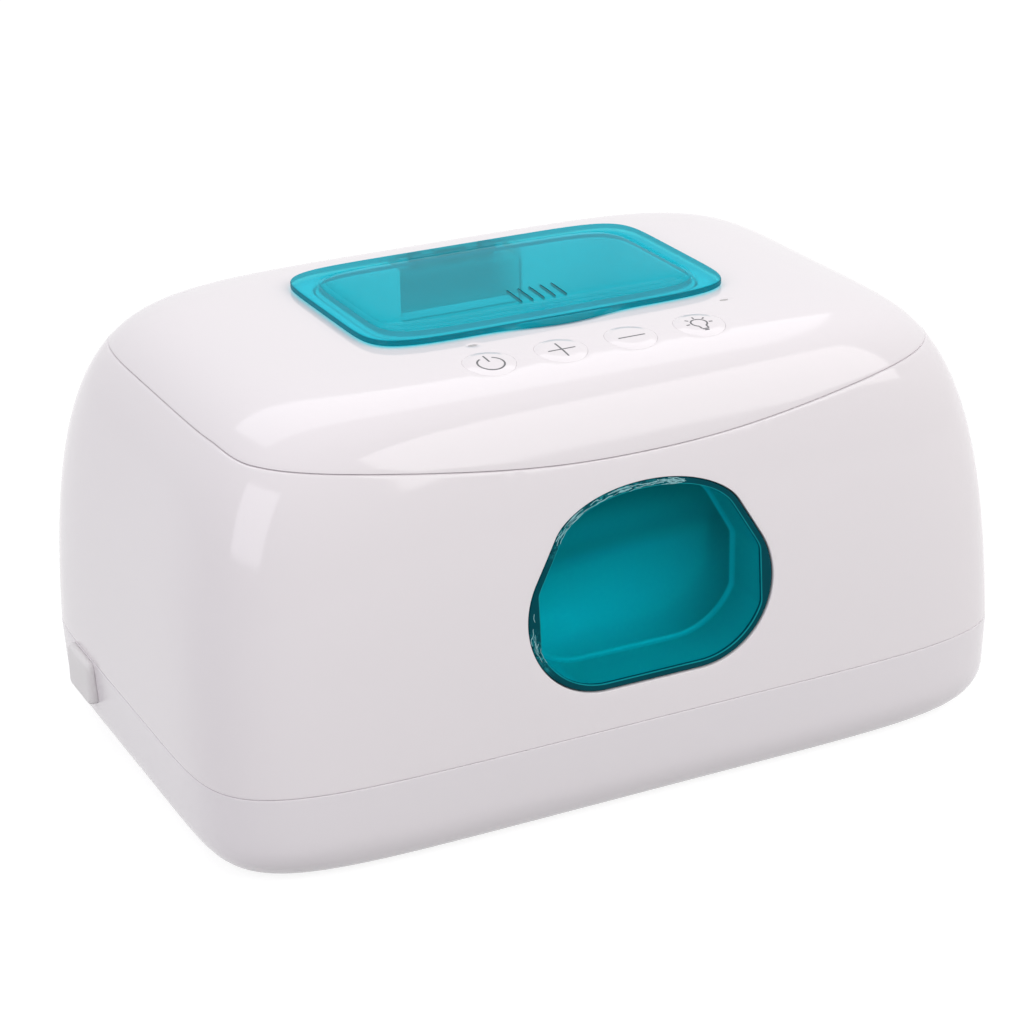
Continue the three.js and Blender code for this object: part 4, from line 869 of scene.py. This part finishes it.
def pale_streaks():
    """Fine pale streaks that follow the rim at its upper left and lower left."""
    shape = Shape()
    outer, inner = window_outline(0.3), window_outline(WINDOW_RIM - 0.1, OPENING_HALF + 0.1)
    skin = lambda x, z: front_wall(x, z, RECESS)[:, [0, 2, 1]] * (1, 1, -1)
    places = np.arange(WINDOW_POINTS)
    chance = np.random.default_rng(11)
    for first, last, count in PALE_MARKS:
        for _ in range(count):
            start = chance.uniform(first, last)
            at = start + np.linspace(0, chance.uniform(1.2, 6.0), 9)
            share = chance.uniform(0.1, 0.9) + np.linspace(0, chance.uniform(-0.25, 0.25), 9)
            share = np.clip(share + 0.05 * np.sin(at * chance.uniform(1, 3)), 0.05, 0.95)[:, None]
            rows = [[np.interp(at, places, line) for line in loop.T] for loop in (outer, inner)]
            over, under = np.transpose(rows, (0, 2, 1))
            stroke(shape, over * (1 - share) + under * share, skin, chance.uniform(0.08, 0.22))
    shape.points = [p[:, [0, 2, 1]] * (1, -1, 1) for p in shape.points]
    return shape


def window_pane():
    loop = window_outline(WINDOW_RIM + 0.05, OPENING_HALF - 0.05)
    front = lambda x, z: front_wall(x, z, RECESS + 0.5)
    back = lambda x, z: front_wall(x, z, RECESS + 0.5 + 1.5)
    shape = Shape().patch(loop, [], 3.0, front).patch(loop, [], 5.0, back)
    return shape.loft([front(*loop.T), back(*loop.T)])


def light_pocket():
    """The teal box behind the pane, drawn in towards its back plate and rounded into it."""
    plate, draft = pocket_back - 2.0, 0.3
    mouth, outer = window_outline(WINDOW_RIM, OPENING_HALF), window_outline(WINDOW_RIM - 1.0)
    front, outer_front = (front_wall(*loop.T, RECESS + RIM_THICK + 0.05) for loop in (mouth, outer))
    rows = [front]
    for share in (0.25, 0.5, 0.75, 1.0):
        y = front[:, 1] + (plate - POCKET_FILLET - front[:, 1]) * share
        rows.append(flat(y, 1)(*grown(mouth, -draft * share).T))
    for inset, up in fillet_steps(POCKET_FILLET, 6):
        rows.append(flat(plate - up, 1)(*grown(mouth, -draft - inset).T))
    shape = Shape().loft(rows)
    shape.patch(grown(mouth, -draft - POCKET_FILLET), [], 4.0, flat(plate, 1))
    shape.loft([front, outer_front, flat(pocket_back, 1)(*outer.T)])
    return shape.patch(outer, [], 6.0, flat(pocket_back, 1))


make("window_rim", window_rim(), "housing", teal_rim, ["window_lens"])
# A painted highlight along the rim's inner edge.
make("window_edge_highlight", window_edge_highlight(), "housing", teal_edge_highlight)
make("pale_streaks", pale_streaks(), "housing", teal_pale_streak)
make("window_pane", window_pane(), "housing", clear_pane)
make("light_pocket", light_pocket(), "housing", teal_pocket, ["light_box"])


# Inlet: the black socket in the base and the soft plug over it
def inlet_socket():
    shape = Shape()
    low, high = cad_box("dc_inlet_jack")
    half, middle = (high - low)[1:] / 2, (low + high)[1:] / 2
    face = round_rectangle(*half, 0.8, middle, 5)
    bore = circle(3.0, middle, 40)
    front, deep, back = (flat(x, 0) for x in (low[0], high[0] - 3, high[0]))
    shape.patch(face, [grown(bore, 0.3)], 1.6, front)
    shape.loft([*collar(bore, 0.3, front, (1, 0, 0)), deep(*bore.T)])
    shape.cap(deep(*bore.T))
    return shape.loft([front(*face.T), back(*face.T)]).cap(back(*face.T))


def socket_pin():
    low, high = cad_box("dc_inlet_jack")
    return Shape().bar(1.0, low[0] + 1.2, high[0] - 3, (0, *INLET), 0.4, 24)


def inlet_plug():
    """A soft block that lies on the wall, with a stem in the inlet."""
    low, high = cad_box("inlet_cover")
    (a, b), centre = (high - low)[1:] / 2, (low + high)[1:] / 2
    outline = lambda inset: round_rectangle(a - inset, b - inset, 2.4 - inset, centre, 8, 4)
    base, soft = outline(0.15), 1.4
    rows = [left_wall(*base.T, -PLUG_GAP), left_wall(*outline(0).T, -PLUG_GAP - 0.25)]
    rows += [flat(low[0] + down, 0)(*outline(out).T) for out, down in round_steps(soft, 6)[::-1]]
    shape = Shape().loft(rows)
    shape.patch(outline(soft), [], 2.5, flat(low[0], 0))
    shape.patch(base, [], 2.5, lambda y, z: left_wall(y, z, -PLUG_GAP))
    return shape.bar(INLET_R - SEAM_GAP, low[0] + 1, high[0], (0, *INLET), 0.5)


make("inlet_socket", inlet_socket(), "housing", black_plastic, ["dc_inlet_jack"])
make("inlet_pin", socket_pin(), "housing", steel)
make("inlet_plug", inlet_plug(), "plug", silicone, ["inlet_cover"])


# Lid: the skin with its openings
ROOF_SHARE = 0.75
BUTTON_GAP, BUTTON_EDGE = 0.045, 0.045


def well_and_pocket(grow):
    """The opening of the well, with the hinge's pocket behind it."""
    a, b = WELL_HALF[0] + grow, WELL_HALF[1] + grow
    x, rear, corner = POCKET_HALF + grow, POCKET_REAR + grow, 1.5 + grow
    well = superellipse(a, b, WELL_POWER, (0, COVER_Y), 120)
    keep = (np.abs(well[:, 0]) > x) | (well[:, 1] < COVER_Y)
    first = int(np.nonzero(~keep)[0].max()) + 1
    around = np.roll(well, -first, 0)[np.roll(keep, -first)]
    joint = COVER_Y + b * (1 - (x / a) ** WELL_POWER) ** (1 / WELL_POWER)
    quarter = np.linspace(0, math.pi / 2, 8)
    right = (x - corner, rear - corner) + corner * on_circle(quarter)
    loop = np.vstack([around, [(x, joint)], right, right[::-1] * (-1, 1), [(-x, joint)]])
    return resample(loop, 260)


def lid_openings():
    """Each opening of the lid, with the radius of its edge."""
    holes = [(well_and_pocket(WELL_WALL + 0.3), 0.4)]
    holes += [(circle(BUTTON_R + BUTTON_GAP, (x, BUTTON_Y), 64), BUTTON_EDGE) for x in BUTTON_X]
    holes += [(circle(np.add(INDICATOR_HALF, 0.06), middle, 32), 0.12) for middle in INDICATORS.values()]
    return holes


def roof_height(inset):
    return KNEE + (HEIGHT - inset - KNEE) * (1 - ROOF_SHARE**SHOULDER) ** (1 / RISE)


def lid_skin():
    """The lid, from its seam over the roof, with an inner skin and holes for what sits in it."""
    low = seam_columns(LID_GAP / 2)
    start = low + EDGE_ROUND
    rings = [ring(low + down, out) for out, down in round_steps(EDGE_ROUND)]
    angle_at = lambda z: np.arcsin(np.clip((z - KNEE) / (HEIGHT - KNEE), 0, 1) ** (RISE / 2))
    first_angle, last_angle = angle_at(start), angle_at(roof_height(0))
    for step in np.linspace(0, 1, 17)[1:]:
        angle = first_angle + (last_angle - first_angle) * step
        rings.append(ring(KNEE + (HEIGHT - KNEE) * np.sin(angle) ** (2 / RISE)))
    shape = Shape().loft(rings)
    holes = lid_openings()
    outer_skin, inner_skin = top_skin(), top_skin(LID_WALL)
    shape.patch(rings[-1][:, :2], [grown(loop, radius) for loop, radius in holes], 2.4, outer_skin)
    rise = roof_height(LID_WALL) - start
    inner = [ring(low, EDGE_ROUND), ring(low, LID_WALL - EDGE_ROUND)]
    inner += [ring(start + rise * share**0.8, LID_WALL) for share in np.linspace(0, 1, 7)]
    shape.loft(inner)
    shape.patch(inner[-1][:, :2], [loop for loop, _ in holes], 6.0, inner_skin)
    for loop, radius in holes:
        shape.loft([*collar(loop, radius, outer_skin, (0, 0, -1)), inner_skin(*loop.T)])
    return shape


make("lid_skin", lid_skin(), "lid", white_gloss, ["lid_shell"])


# Hinges of the lid on the rear wall
lid_axis = next(j for j in frame["joints"] if j["name"] == "lid_hinge")["pos_m"]
HINGE_Y, HINGE_Z = lid_axis[1] / MM, lid_axis[2] / MM
LID_SPAN, BODY_LENGTH, HINGE_WEB = 6.7, 7.7, 4.0


def knuckles(spans, low, high):
    """Round knuckles on webs that run into the wall."""
    shape = Shape()
    front = HINGE_Y - LID_HINGE_R - HINGE_WEB
    for middle in (-LID_HINGE_X, LID_HINGE_X):
        for start, end in spans:
            a, b = middle + start, middle + end
            shape.bar(LID_HINGE_R, a, b, (0, HINGE_Y, HINGE_Z), 0.5)
            shape.block((a + 0.3, front, low), (b - 0.3, HINGE_Y - 0.2, high), 0.3)
    return shape


near, far = LID_SPAN + 0.3, LID_SPAN + 0.3 + BODY_LENGTH
body_pair = knuckles([(-far, -near), (near, far)], HINGE_Z - LID_HINGE_R, HINGE_Z - 0.3)
make("body_knuckles", body_pair, "housing", white_gloss)
lid_pair = knuckles([(-LID_SPAN, LID_SPAN)], HINGE_Z + 0.3, HINGE_Z + LID_HINGE_R)
make("lid_knuckles", lid_pair, "lid", white_gloss)
for side, x in (("left", -LID_HINGE_X), ("right", LID_HINGE_X)):
    pin = Shape().bar(LID_PIN_R, x - far - 0.3, x + far + 0.3, (0, HINGE_Y, HINGE_Z), 0.25)
    make(f"hinge_pin_{side}", pin, "housing", steel, [f"lid_hinge_pin_{side}"])


# Under the lid: inner panel, seal and screws
def lid_screw_places():
    boxes = {name: cad_box(f"lid_screw_{name}") for name in CORNERS}
    return {name: (low + high)[:2] / 2 for name, (low, high) in boxes.items()}


def lid_liner():
    """The panel under the lid, a shallow cup with a slot and holes for its screws."""
    bottom, top = (corner[2] for corner in cad_box("lid_inner_panel"))
    a, b, n, m, lean = (float(v) for v in plan(top, LID_WALL))
    clearance, wall, thick, soft = 4.6, 2.0, 2.2, 1.4
    shares = np.stack(full_round(*even_quarter(a, b, n, m, 48)), 1)
    outline = lambda inset: shares * (a - clearance - inset, b - clearance - inset) + (0, lean)
    slot = superellipse(*SLOT_HALF, SLOT_POWER, (0, SLOT_Y), 24)
    bores = [circle(1.7, middle, 24) for middle in lid_screw_places().values()]
    under, over = flat(bottom), flat(bottom + thick)
    shape = Shape().patch(outline(soft), [grown(slot, 0.5), *bores], 6.0, under)
    rows = [at_height(outline(out), bottom + down) for out, down in round_steps(soft, 5)]
    cup = ((0, top), (wall, top), (wall, bottom + thick))
    shape.loft(rows + [at_height(outline(inset), z) for inset, z in cup])
    shape.patch(outline(wall), [slot, *bores], 9.0, over)
    shape.loft([*collar(slot, 0.5, under, (0, 0, 1)), over(*slot.T)])
    for bore in bores:
        shape.wall(bore, bottom, bottom + thick)
    return shape


def lid_seal():
    """A soft ring with two lips that press on the tub's flange."""
    bottom, top = (corner[2] for corner in cad_box("lid_gasket"))
    section = [(3.6, top), (3.6, bottom + 0.5), (3.3, bottom), (2.7, bottom), (2.3, bottom + 0.7)]
    section += [(0.7, bottom + 0.7), (0.3, bottom), (-0.3, bottom), (-0.6, bottom + 0.5), (-0.6, top)]
    return Shape().loft([at_height(tub_outline(grow), z) for grow, z in section], closed=True)


make("lid_liner", lid_liner(), "lid", white_satin, ["lid_inner_panel"])
make("lid_seal", lid_seal(), "lid", silicone, ["lid_gasket"])
for name, middle in lid_screw_places().items():
    driver = screw(middle, f"lid_screw_{name}", 2.8, 1.8, 1.4)
    make(f"lid_fixing_{name}", driver, "lid", steel, [f"lid_screw_{name}"])


# Well under the flip cover, with its slot, lips and catch
def well_cup():
    """The shallow well in the lid, with the slot in its floor."""
    shape = Shape()
    sink, edge, fillet = 0.2, 0.5, 1.6
    mouth = well_and_pocket(0)
    rim = top_skin(0, -sink)
    outer = grown(mouth, WELL_WALL)
    rows = [at_height(outer, WELL_BOTTOM), rim(*outer.T), *collar(mouth, edge, rim, (0, 0, -1))]
    top = top_height(*mouth.T) - sink - edge
    rows += [at_height(mouth, top + (WELL_FLOOR + fillet - top) * share) for share in (0.3, 0.6, 1.0)]
    rows += [at_height(grown(mouth, -inset), WELL_FLOOR + up) for inset, up in fillet_steps(fillet, 5)]
    shape.loft(rows)
    slot = superellipse(*SLOT_HALF, SLOT_POWER, (0, SLOT_Y), 24)
    shape.patch(grown(mouth, -fillet), [grown(slot, 0.5)], 4.0, flat(WELL_FLOOR))
    shape.loft([*collar(slot, 0.5, flat(WELL_FLOOR), (0, 0, -1)), at_height(slot, WELL_BOTTOM)])
    return shape.patch(outer, [slot], 8.0, flat(WELL_BOTTOM))


def slot_lips():
    """A soft sheet in the slot, with a bead round its mouth."""
    half, low, thick = np.array((30, 4)), WELL_BOTTOM + 0.1, 1.2
    middle = (0, SLOT_Y)
    base = superellipse(*np.subtract(SLOT_HALF, 0.3), SLOT_POWER, middle, 24)
    angle = np.arctan2(*((base - middle) / half).T[::-1])
    mouth = on_circle(angle) * half + middle
    section = [(0, 0), (0, thick), (0.15, thick), (0.6, thick * 0.75), (0.85, thick * 0.7)]
    section += [(0.95, thick), (1, thick * 0.8), (1, 0.25), (0.95, 0)]
    rows = [at_height(base + (mouth - base) * share, low + rise) for share, rise in section]
    return Shape().loft(rows, closed=True)


PLINTH = 2.6


def hinge_block():
    """The grey block that carries the cover's hinge, with fine ribs on its face."""
    (_, front, bottom), (x, back, _) = cad_box("cover_hinge_housing")
    bottom += PLINTH
    shape = Shape().block((-x, front + 0.5, bottom), (x, back, COVER_HINGE[1] - 2.5), 0.6)
    for z in bottom + 1.6 + 2.6 * np.arange(4):
        shape.block((-x + 1.5, front, z), (x - 1.5, front + 0.8, z + 0.7), 0.25, 2)
    return shape


def hinge_ears():
    """The two ears that hold the cover's pin, and the plinth of the block."""
    low, high = cad_box("cover_hinge_housing")
    high[2] = low[2] + PLINTH - 0.05
    shape = Shape().block(low + (0.3, 0.8, 0), high - (0.3, 0.3, 0), 0.4)
    y, z = COVER_HINGE
    for middle in (-15.6, 15.6):
        shape.bar(EAR_R, middle - 1.8, middle + 1.8, (0, y, z))
        shape.block((middle - 1.7, y - EAR_R, z - 3.0), (middle + 1.7, y + EAR_R, z), 0.2, 2)
    return shape


def cover_latch():
    low, high = cad_box("cover_catch")
    lip = ((low[0] + 1, high[1] - 0.6, high[2] - 1.4), (high[0] - 1, high[1] + 0.25, high[2] - 0.4))
    return Shape().block(low, high, 0.4).block(*lip, 0.2, 2)


make("well_cup", well_cup(), "lid", white_well, ["dispensing_well"])
make("slot_lips", slot_lips(), "lid", silicone, ["dispensing_lips"])
# The hinge block's dark grey and its fade are painted shade.
make("hinge_block", hinge_block(), "lid", grey_painted_shade, ["cover_hinge_housing"])
make("hinge_ears", hinge_ears(), "lid", white_gloss)
make("latch_catch", cover_latch(), "lid", grey_plastic, ["cover_catch"])


# Flip cover
CONTOUR, BAND_WIDE, BAND_RISE = 6.7, 1.5, 0.4
CROWN_STEPS = ((8.36, 0.4), (9.5, 0.85), (11.0, 1.22), (14.0, 1.5), (20.0, 1.75), (27.0, 1.85),
               (36.0, 1.88))
TAB_HALF, TAB_REACH, HOOK_FOOT = 24.0, 2.7, 121.8
SLIT_COUNT, SLIT_PITCH, SLIT_SIZE, SLIT_Y, SLIT_DEEP = 5, 3.5, (0.55, 9.4), -12.5, 0.7


def cover_loop(inset, tab=0.0):
    """The cover's outline, with a thumb tab in front."""
    loop = superellipse(*np.subtract(COVER_HALF, inset), COVER_POWER, (0, COVER_Y), 48)
    near = (loop[:, 1] < COVER_Y) & (np.abs(loop[:, 0]) < TAB_HALF)
    bump = np.where(near, np.cos(np.clip(np.abs(loop[:, 0]) / TAB_HALF, 0, 1) * math.pi / 2) ** 2, 0)
    loop[:, 1] -= bump * tab
    return loop


def cover_slits():
    """Outlines of the row of slits in the middle of the cover."""
    half = np.divide(SLIT_SIZE, 2)
    places = (np.arange(SLIT_COUNT) - (SLIT_COUNT - 1) / 2) * SLIT_PITCH
    return [round_rectangle(*half, half[0] * 0.9, (x, SLIT_Y), 4, 4) for x in places]


def crown_skin(deep=0.0):
    """A function from the plan to the crown, which rises from its edge to a gentle middle."""
    a, b = COVER_HALF

    def place(x, y):
        low, high = np.zeros(np.shape(x)), np.full(np.shape(x), 35.9)
        for _ in range(30):
            inset = (low + high) / 2
            across, along = np.abs(x / (a - inset)), np.abs((y - COVER_Y) / (b - inset))
            within = across**COVER_POWER + along**COVER_POWER < 1
            low = np.where(within, inset, low)
            high = np.where(within, high, inset)
        rise = np.interp((low + high) / 2, *np.transpose(CROWN_STEPS))
        return np.stack([x, y, COVER_RIM + rise - deep], 1)

    return place


def slit_shade_floors():
    """Dark sheets on the slits' floors: painted shade that darkens the slits."""
    shape = Shape()
    for slit in cover_slits():
        rows = [crown_skin(deep)(*grown(slit, -0.02).T) for deep in (SLIT_DEEP - 0.02, 0.12)]
        shape.cap(rows[0]).loft(rows).cap(rows[1])
    return shape


def cover_piece():
    """The clear cover: a rim with a thumb tab, a raised middle and slits."""
    side = COVER_RIM - COVER_LOW
    hem = ((0.3, 0), (0, 0.25))
    rows = [at_height(cover_loop(inset, TAB_REACH), COVER_LOW + up) for inset, up in hem]
    for share, tab in ((0.3, 0.8), (0.5, 0.45), (0.68, 0.18)):
        rows.append(at_height(cover_loop(0, TAB_REACH * tab), COVER_LOW + side * share))
    rows += [at_height(cover_loop(out), COVER_RIM - down) for out, down in round_steps(0.5)[::-1]]
    groove = [(-0.15, 0), (-0.03, -0.09), (0.03, -0.09), (0.15, 0)]
    step = [(1.2, 0), (5.8, 0)] + [(CONTOUR + out, deep) for out, deep in groove]
    step += [(CONTOUR + BAND_WIDE + out, BAND_RISE + deep) for out, deep in groove]
    rows += [at_height(cover_loop(inset), COVER_RIM + rise) for inset, rise in step]
    top, below, floor = crown_skin(), crown_skin(1.6), crown_skin(SLIT_DEEP)
    middle = rows[-1][:, :2]
    rows[-1] = top(*middle.T)
    shape = Shape().loft(rows).patch(middle, cover_slits(), 2.0, top)
    for slit in cover_slits():
        shape.loft([top(*slit.T), floor(*slit.T)]).cap(floor(*slit.T))
    edge = cover_loop(9.2)
    inner = [(CONTOUR, COVER_LOW), (CONTOUR + 0.6, COVER_RIM - 0.6)]
    shape.loft([rows[0], *[at_height(cover_loop(inset), z) for inset, z in inner], below(*edge.T)])
    return shape.patch(edge, [], 5.0, below)


def cover_arms():
    """The two arms of the cover, in its own plastic."""
    shape = Shape()
    y, z = COVER_HINGE
    for middle in (-11.5, 11.5):
        shape.bar(EAR_R, middle - 2, middle + 2, (0, y, z))
        shape.block((middle - 2, y - 4, COVER_LOW - 0.6), (middle + 2, y, z + 1.3), 0.3, 2)
    return shape


hook = Shape().block((-6, -18.6, HOOK_FOOT), (6, -17.0, COVER_RIM - 0.2), 0.4)
make("flip_cover", cover_piece(), "cover", clear_cover, ["dispenser_cover"])
make("cover_arms", cover_arms(), "cover", clear_cover)
make("cover_hook", hook, "cover", clear_hook)
# Painted shade in the cover's slits.
make("slit_shade_floors", slit_shade_floors(), "cover", slit_shade_teal)


# Hinge pin and torsion spring of the cover
def torsion_spring():
    """A wire wound round the cover's pin."""
    wire, mean, half, turns, sides = 0.28, 1.2, 5.2, 15, 8
    steps = turns * 24
    round_wire = circle(wire, (0, 0), sides)
    rings = []
    for share in np.arange(steps + 1) / steps:
        angle = share * turns * TAU
        radial = np.array([0, math.cos(angle), math.sin(angle)])
        centre = mean * radial + (2 * half * share - half, *COVER_HINGE)
        rings.append(centre + round_wire @ np.array([radial, (1, 0, 0)]))
    return Shape().loft(rings).cap(rings[0]).cap(rings[-1])


pin = Shape().bar(0.8, -17.3, 17.3, (0, *COVER_HINGE), 0.25, 28)
make("cover_pin", pin, "lid", steel, ["cover_hinge_pin"])
make("torsion_spring", torsion_spring(), "lid", steel, ["cover_spring"])


# Buttons with their symbols, and the indicator lights
PROUD = 0.35
SWELL, MARK_SHIFT, PIPE_FOOT = 2.4, 0.6, 113.0


def pillow(middle):
    """The skin of a button's cap, which swells from its rim."""
    skin = top_skin()

    def place(x, y):
        share = np.clip((BUTTON_R - np.hypot(x - middle, y - BUTTON_Y)) / SWELL, 0, 1)
        return skin(x, y) + np.outer(PROUD * share * share * (3 - 2 * share), (0, 0, 1))

    return place


def button_cap(x):
    middle = (x, BUTTON_Y)
    top = pillow(x)
    loop, skirt = circle(BUTTON_R, middle, 64), circle(BUTTON_R + 0.03, middle, 64)
    rows = [top(*grown(loop, -out).T) - (0, 0, down) for out, down in round_steps(BUTTON_EDGE)]
    shape = Shape().patch(grown(loop, -BUTTON_EDGE), [], 0.8, top)
    low = rows[-1][:, 2]
    end = at_height(skirt, cad_box("button_power")[0][2] + 1.9)
    return shape.loft([*rows, at_height(loop, low - 0.6), at_height(skirt, low - 0.65), end]).cap(end)


def arc(radius, start, end, centre=(0, 0)):
    return on_circle(np.radians(np.linspace(start, end, 40))) * radius + centre


def line(a, b, count=8):
    return np.linspace(a, b, count)


def symbol(name):
    """Strokes of a button's symbol about the origin."""
    across = line((-4.1, 0), (4.1, 0))
    if name == "power":
        return [arc(3.7, 118, 422) - (0, 0.5), line((0, 0.5), (0, 4.5))]
    if name == "plus":
        return [across, line((0, -4.1), (0, 4.1))]
    if name == "minus":
        return [across]
    strokes = [arc(2.3, -60, 240, (0, 0.6))]
    strokes += [line((side * 1.15, -1.4), (side * 1.0, -2.9), 5) for side in (1, -1)]
    strokes += [line((-half, y), (half, y), 4) for half, y in ((1.0, -3.2), (0.7, -3.9))]
    for angle in np.radians([-5, 43, 90, 137, 185]):
        way = np.array((math.cos(angle), math.sin(angle)))
        strokes.append(line(3.0 * way + (0, 0.6), 4.1 * way + (0, 0.6), 4))
    return strokes


for name, x in zip(("power", "plus", "minus", "light"), BUTTON_X):
    make(f"cap_{name}", button_cap(x), f"{name}_button", white_gloss, [f"button_{name}"])
    marks = Shape()
    for points in symbol(name):
        stroke(marks, points + (x, BUTTON_Y - MARK_SHIFT), pillow(x))
    make(f"mark_{name}", marks, f"{name}_button", ink)


def light_pipe(middle):
    top = top_skin(0, 0.05)
    mark = lambda out: circle(np.subtract(INDICATOR_HALF, out), middle, 32)
    rows = [top(*mark(out).T) - (0, 0, down) for out, down in round_steps(0.25)]
    end = at_height(rows[-1][:, :2], PIPE_FOOT)
    return Shape().cap(rows[0]).loft([*rows, end]).cap(end)


for side, middle in INDICATORS.items():
    make(f"light_pipe_{side}", light_pipe(middle), "lid", pipe_grey, [f"indicator_{side}"])


# Inner pieces that keep their solids
INNER = {
    "night_light_led_1 night_light_led_2 night_light_led_3": lamp,
    "night_light_board power_board control_board": board,
    "heater_plate": aluminium,
    "insulation_pad": foam,
    "thermal_cutout voltage_regulator switch_power switch_plus switch_minus switch_light": black_plastic,
    "temperature_sensor": grey_plastic,
    "jack_lead heater_lead light_lead": lead_skin,
}
for names, (material, _) in INNER.items():
    for name in names.split():
        for place in frame["nodes"][name].material_slots:
            place.material = material


# Floor, light and camera
def white_to_eye(t):
    """1 for rays that show a background: the camera's, mirrored and refracted ones."""
    path = t.add("LightPath")
    seen = t.sum("MAXIMUM", path["Is Camera Ray"], path["Is Glossy Ray"])
    return t.sum("MAXIMUM", seen, path["Is Transmission Ray"])


FLOOR_TONE, SHADOW_TONE, FLOOR_GLOW = 0.54, 0.3, 0.84
AMBIENT = 0.5


def floor_material():
    """Pale, and white to the eye with the object's shadow on it."""
    material, t = new_material("floor")
    tones = (FLOOR_TONE, SHADOW_TONE)
    plain, shade = [t.add("BsdfDiffuse", {"Color": (tone,) * 3})["BSDF"] for tone in tones]
    glow = t.add("Emission", {"Strength": FLOOR_GLOW})["Emission"]
    both = t.add("AddShader", {0: shade, 1: glow})["Shader"]
    t.add("OutputMaterial", {"Surface": t.blend(white_to_eye(t), plain, both)})
    return material


def make_floor():
    half = 8.0
    mesh = bpy.data.meshes.new("floor")
    corners = [(-half, -half, 0), (half, -half, 0), (half, half, 0), (-half, half, 0)]
    mesh.from_pydata(corners, [], [(0, 1, 2, 3)])
    mesh.materials.append(floor_material())
    linked("floor", mesh)


def make_world():
    world = bpy.data.worlds.new("studio")
    world.use_nodes = True
    t = Nodes(world.node_tree)
    white = {"Color": (1, 1, 1)}
    dim, seen = [t.add("Background", {**white, "Strength": v})["Background"] for v in (AMBIENT, 1.0)]
    t.add("OutputWorld", {"Surface": t.blend(white_to_eye(t), dim, seen)})
    bpy.context.scene.world = world


def softbox(name, place, aim, size, power, colour=(1, 1, 1)):
    light = bpy.data.lights.new(name, "AREA")
    light.color = colour
    light.shape = "RECTANGLE"
    light.size, light.size_y = size
    light.energy = power
    made = linked(name, light)
    made.location = place
    made.rotation_mode = "QUATERNION"
    made.rotation_quaternion = (Vector(aim) - Vector(place)).to_track_quat("-Z", "Y")


def make_camera():
    """The photograph's view, from its azimuth, height, roll and distance."""
    azimuth, height, roll, distance = -0.4622, 0.3998, -0.0155, 0.81646
    aim = Vector((0, 0, 0.060))
    level = math.cos(height)
    back = Vector((math.sin(azimuth) * level, -math.cos(azimuth) * level, math.sin(height)))
    right = Vector((math.cos(azimuth), math.sin(azimuth), 0))
    up = back.cross(right)
    across = math.cos(roll) * right + math.sin(roll) * up
    upward = -math.sin(roll) * right + math.cos(roll) * up
    data = bpy.data.cameras.new("camera")
    data.sensor_width, data.lens = 36.0, 97.71
    image, shift = 1024, (7.97, -4.39)
    data.shift_x, data.shift_y = -shift[0] / image, shift[1] / image
    data.clip_start, data.clip_end = 0.05, 30.0
    camera = linked("camera", data)
    turn = Matrix((across, upward, back)).transposed().to_4x4()
    camera.matrix_world = Matrix.Translation(aim + back * distance) @ turn
    bpy.context.scene.camera = camera


make_floor()
make_world()
softbox("left", (-1.02, -0.40, 0.56), (0, 0, 0.06), (0.78, 0.62), 3.0, (0.96, 0.94, 1.0))
softbox("front", (0.70, -1.00, 0.92), (0, 0, 0.06), (1.3, 0.9), 8.3, (1.0, 0.98, 0.97))
softbox("top", (0.10, 0.55, 1.25), (0, 0, 0.1), (1.7, 0.9), 6.2, (0.96, 0.965, 1.0))
make_camera()
bpy.context.scene.view_settings.view_transform = "Standard"
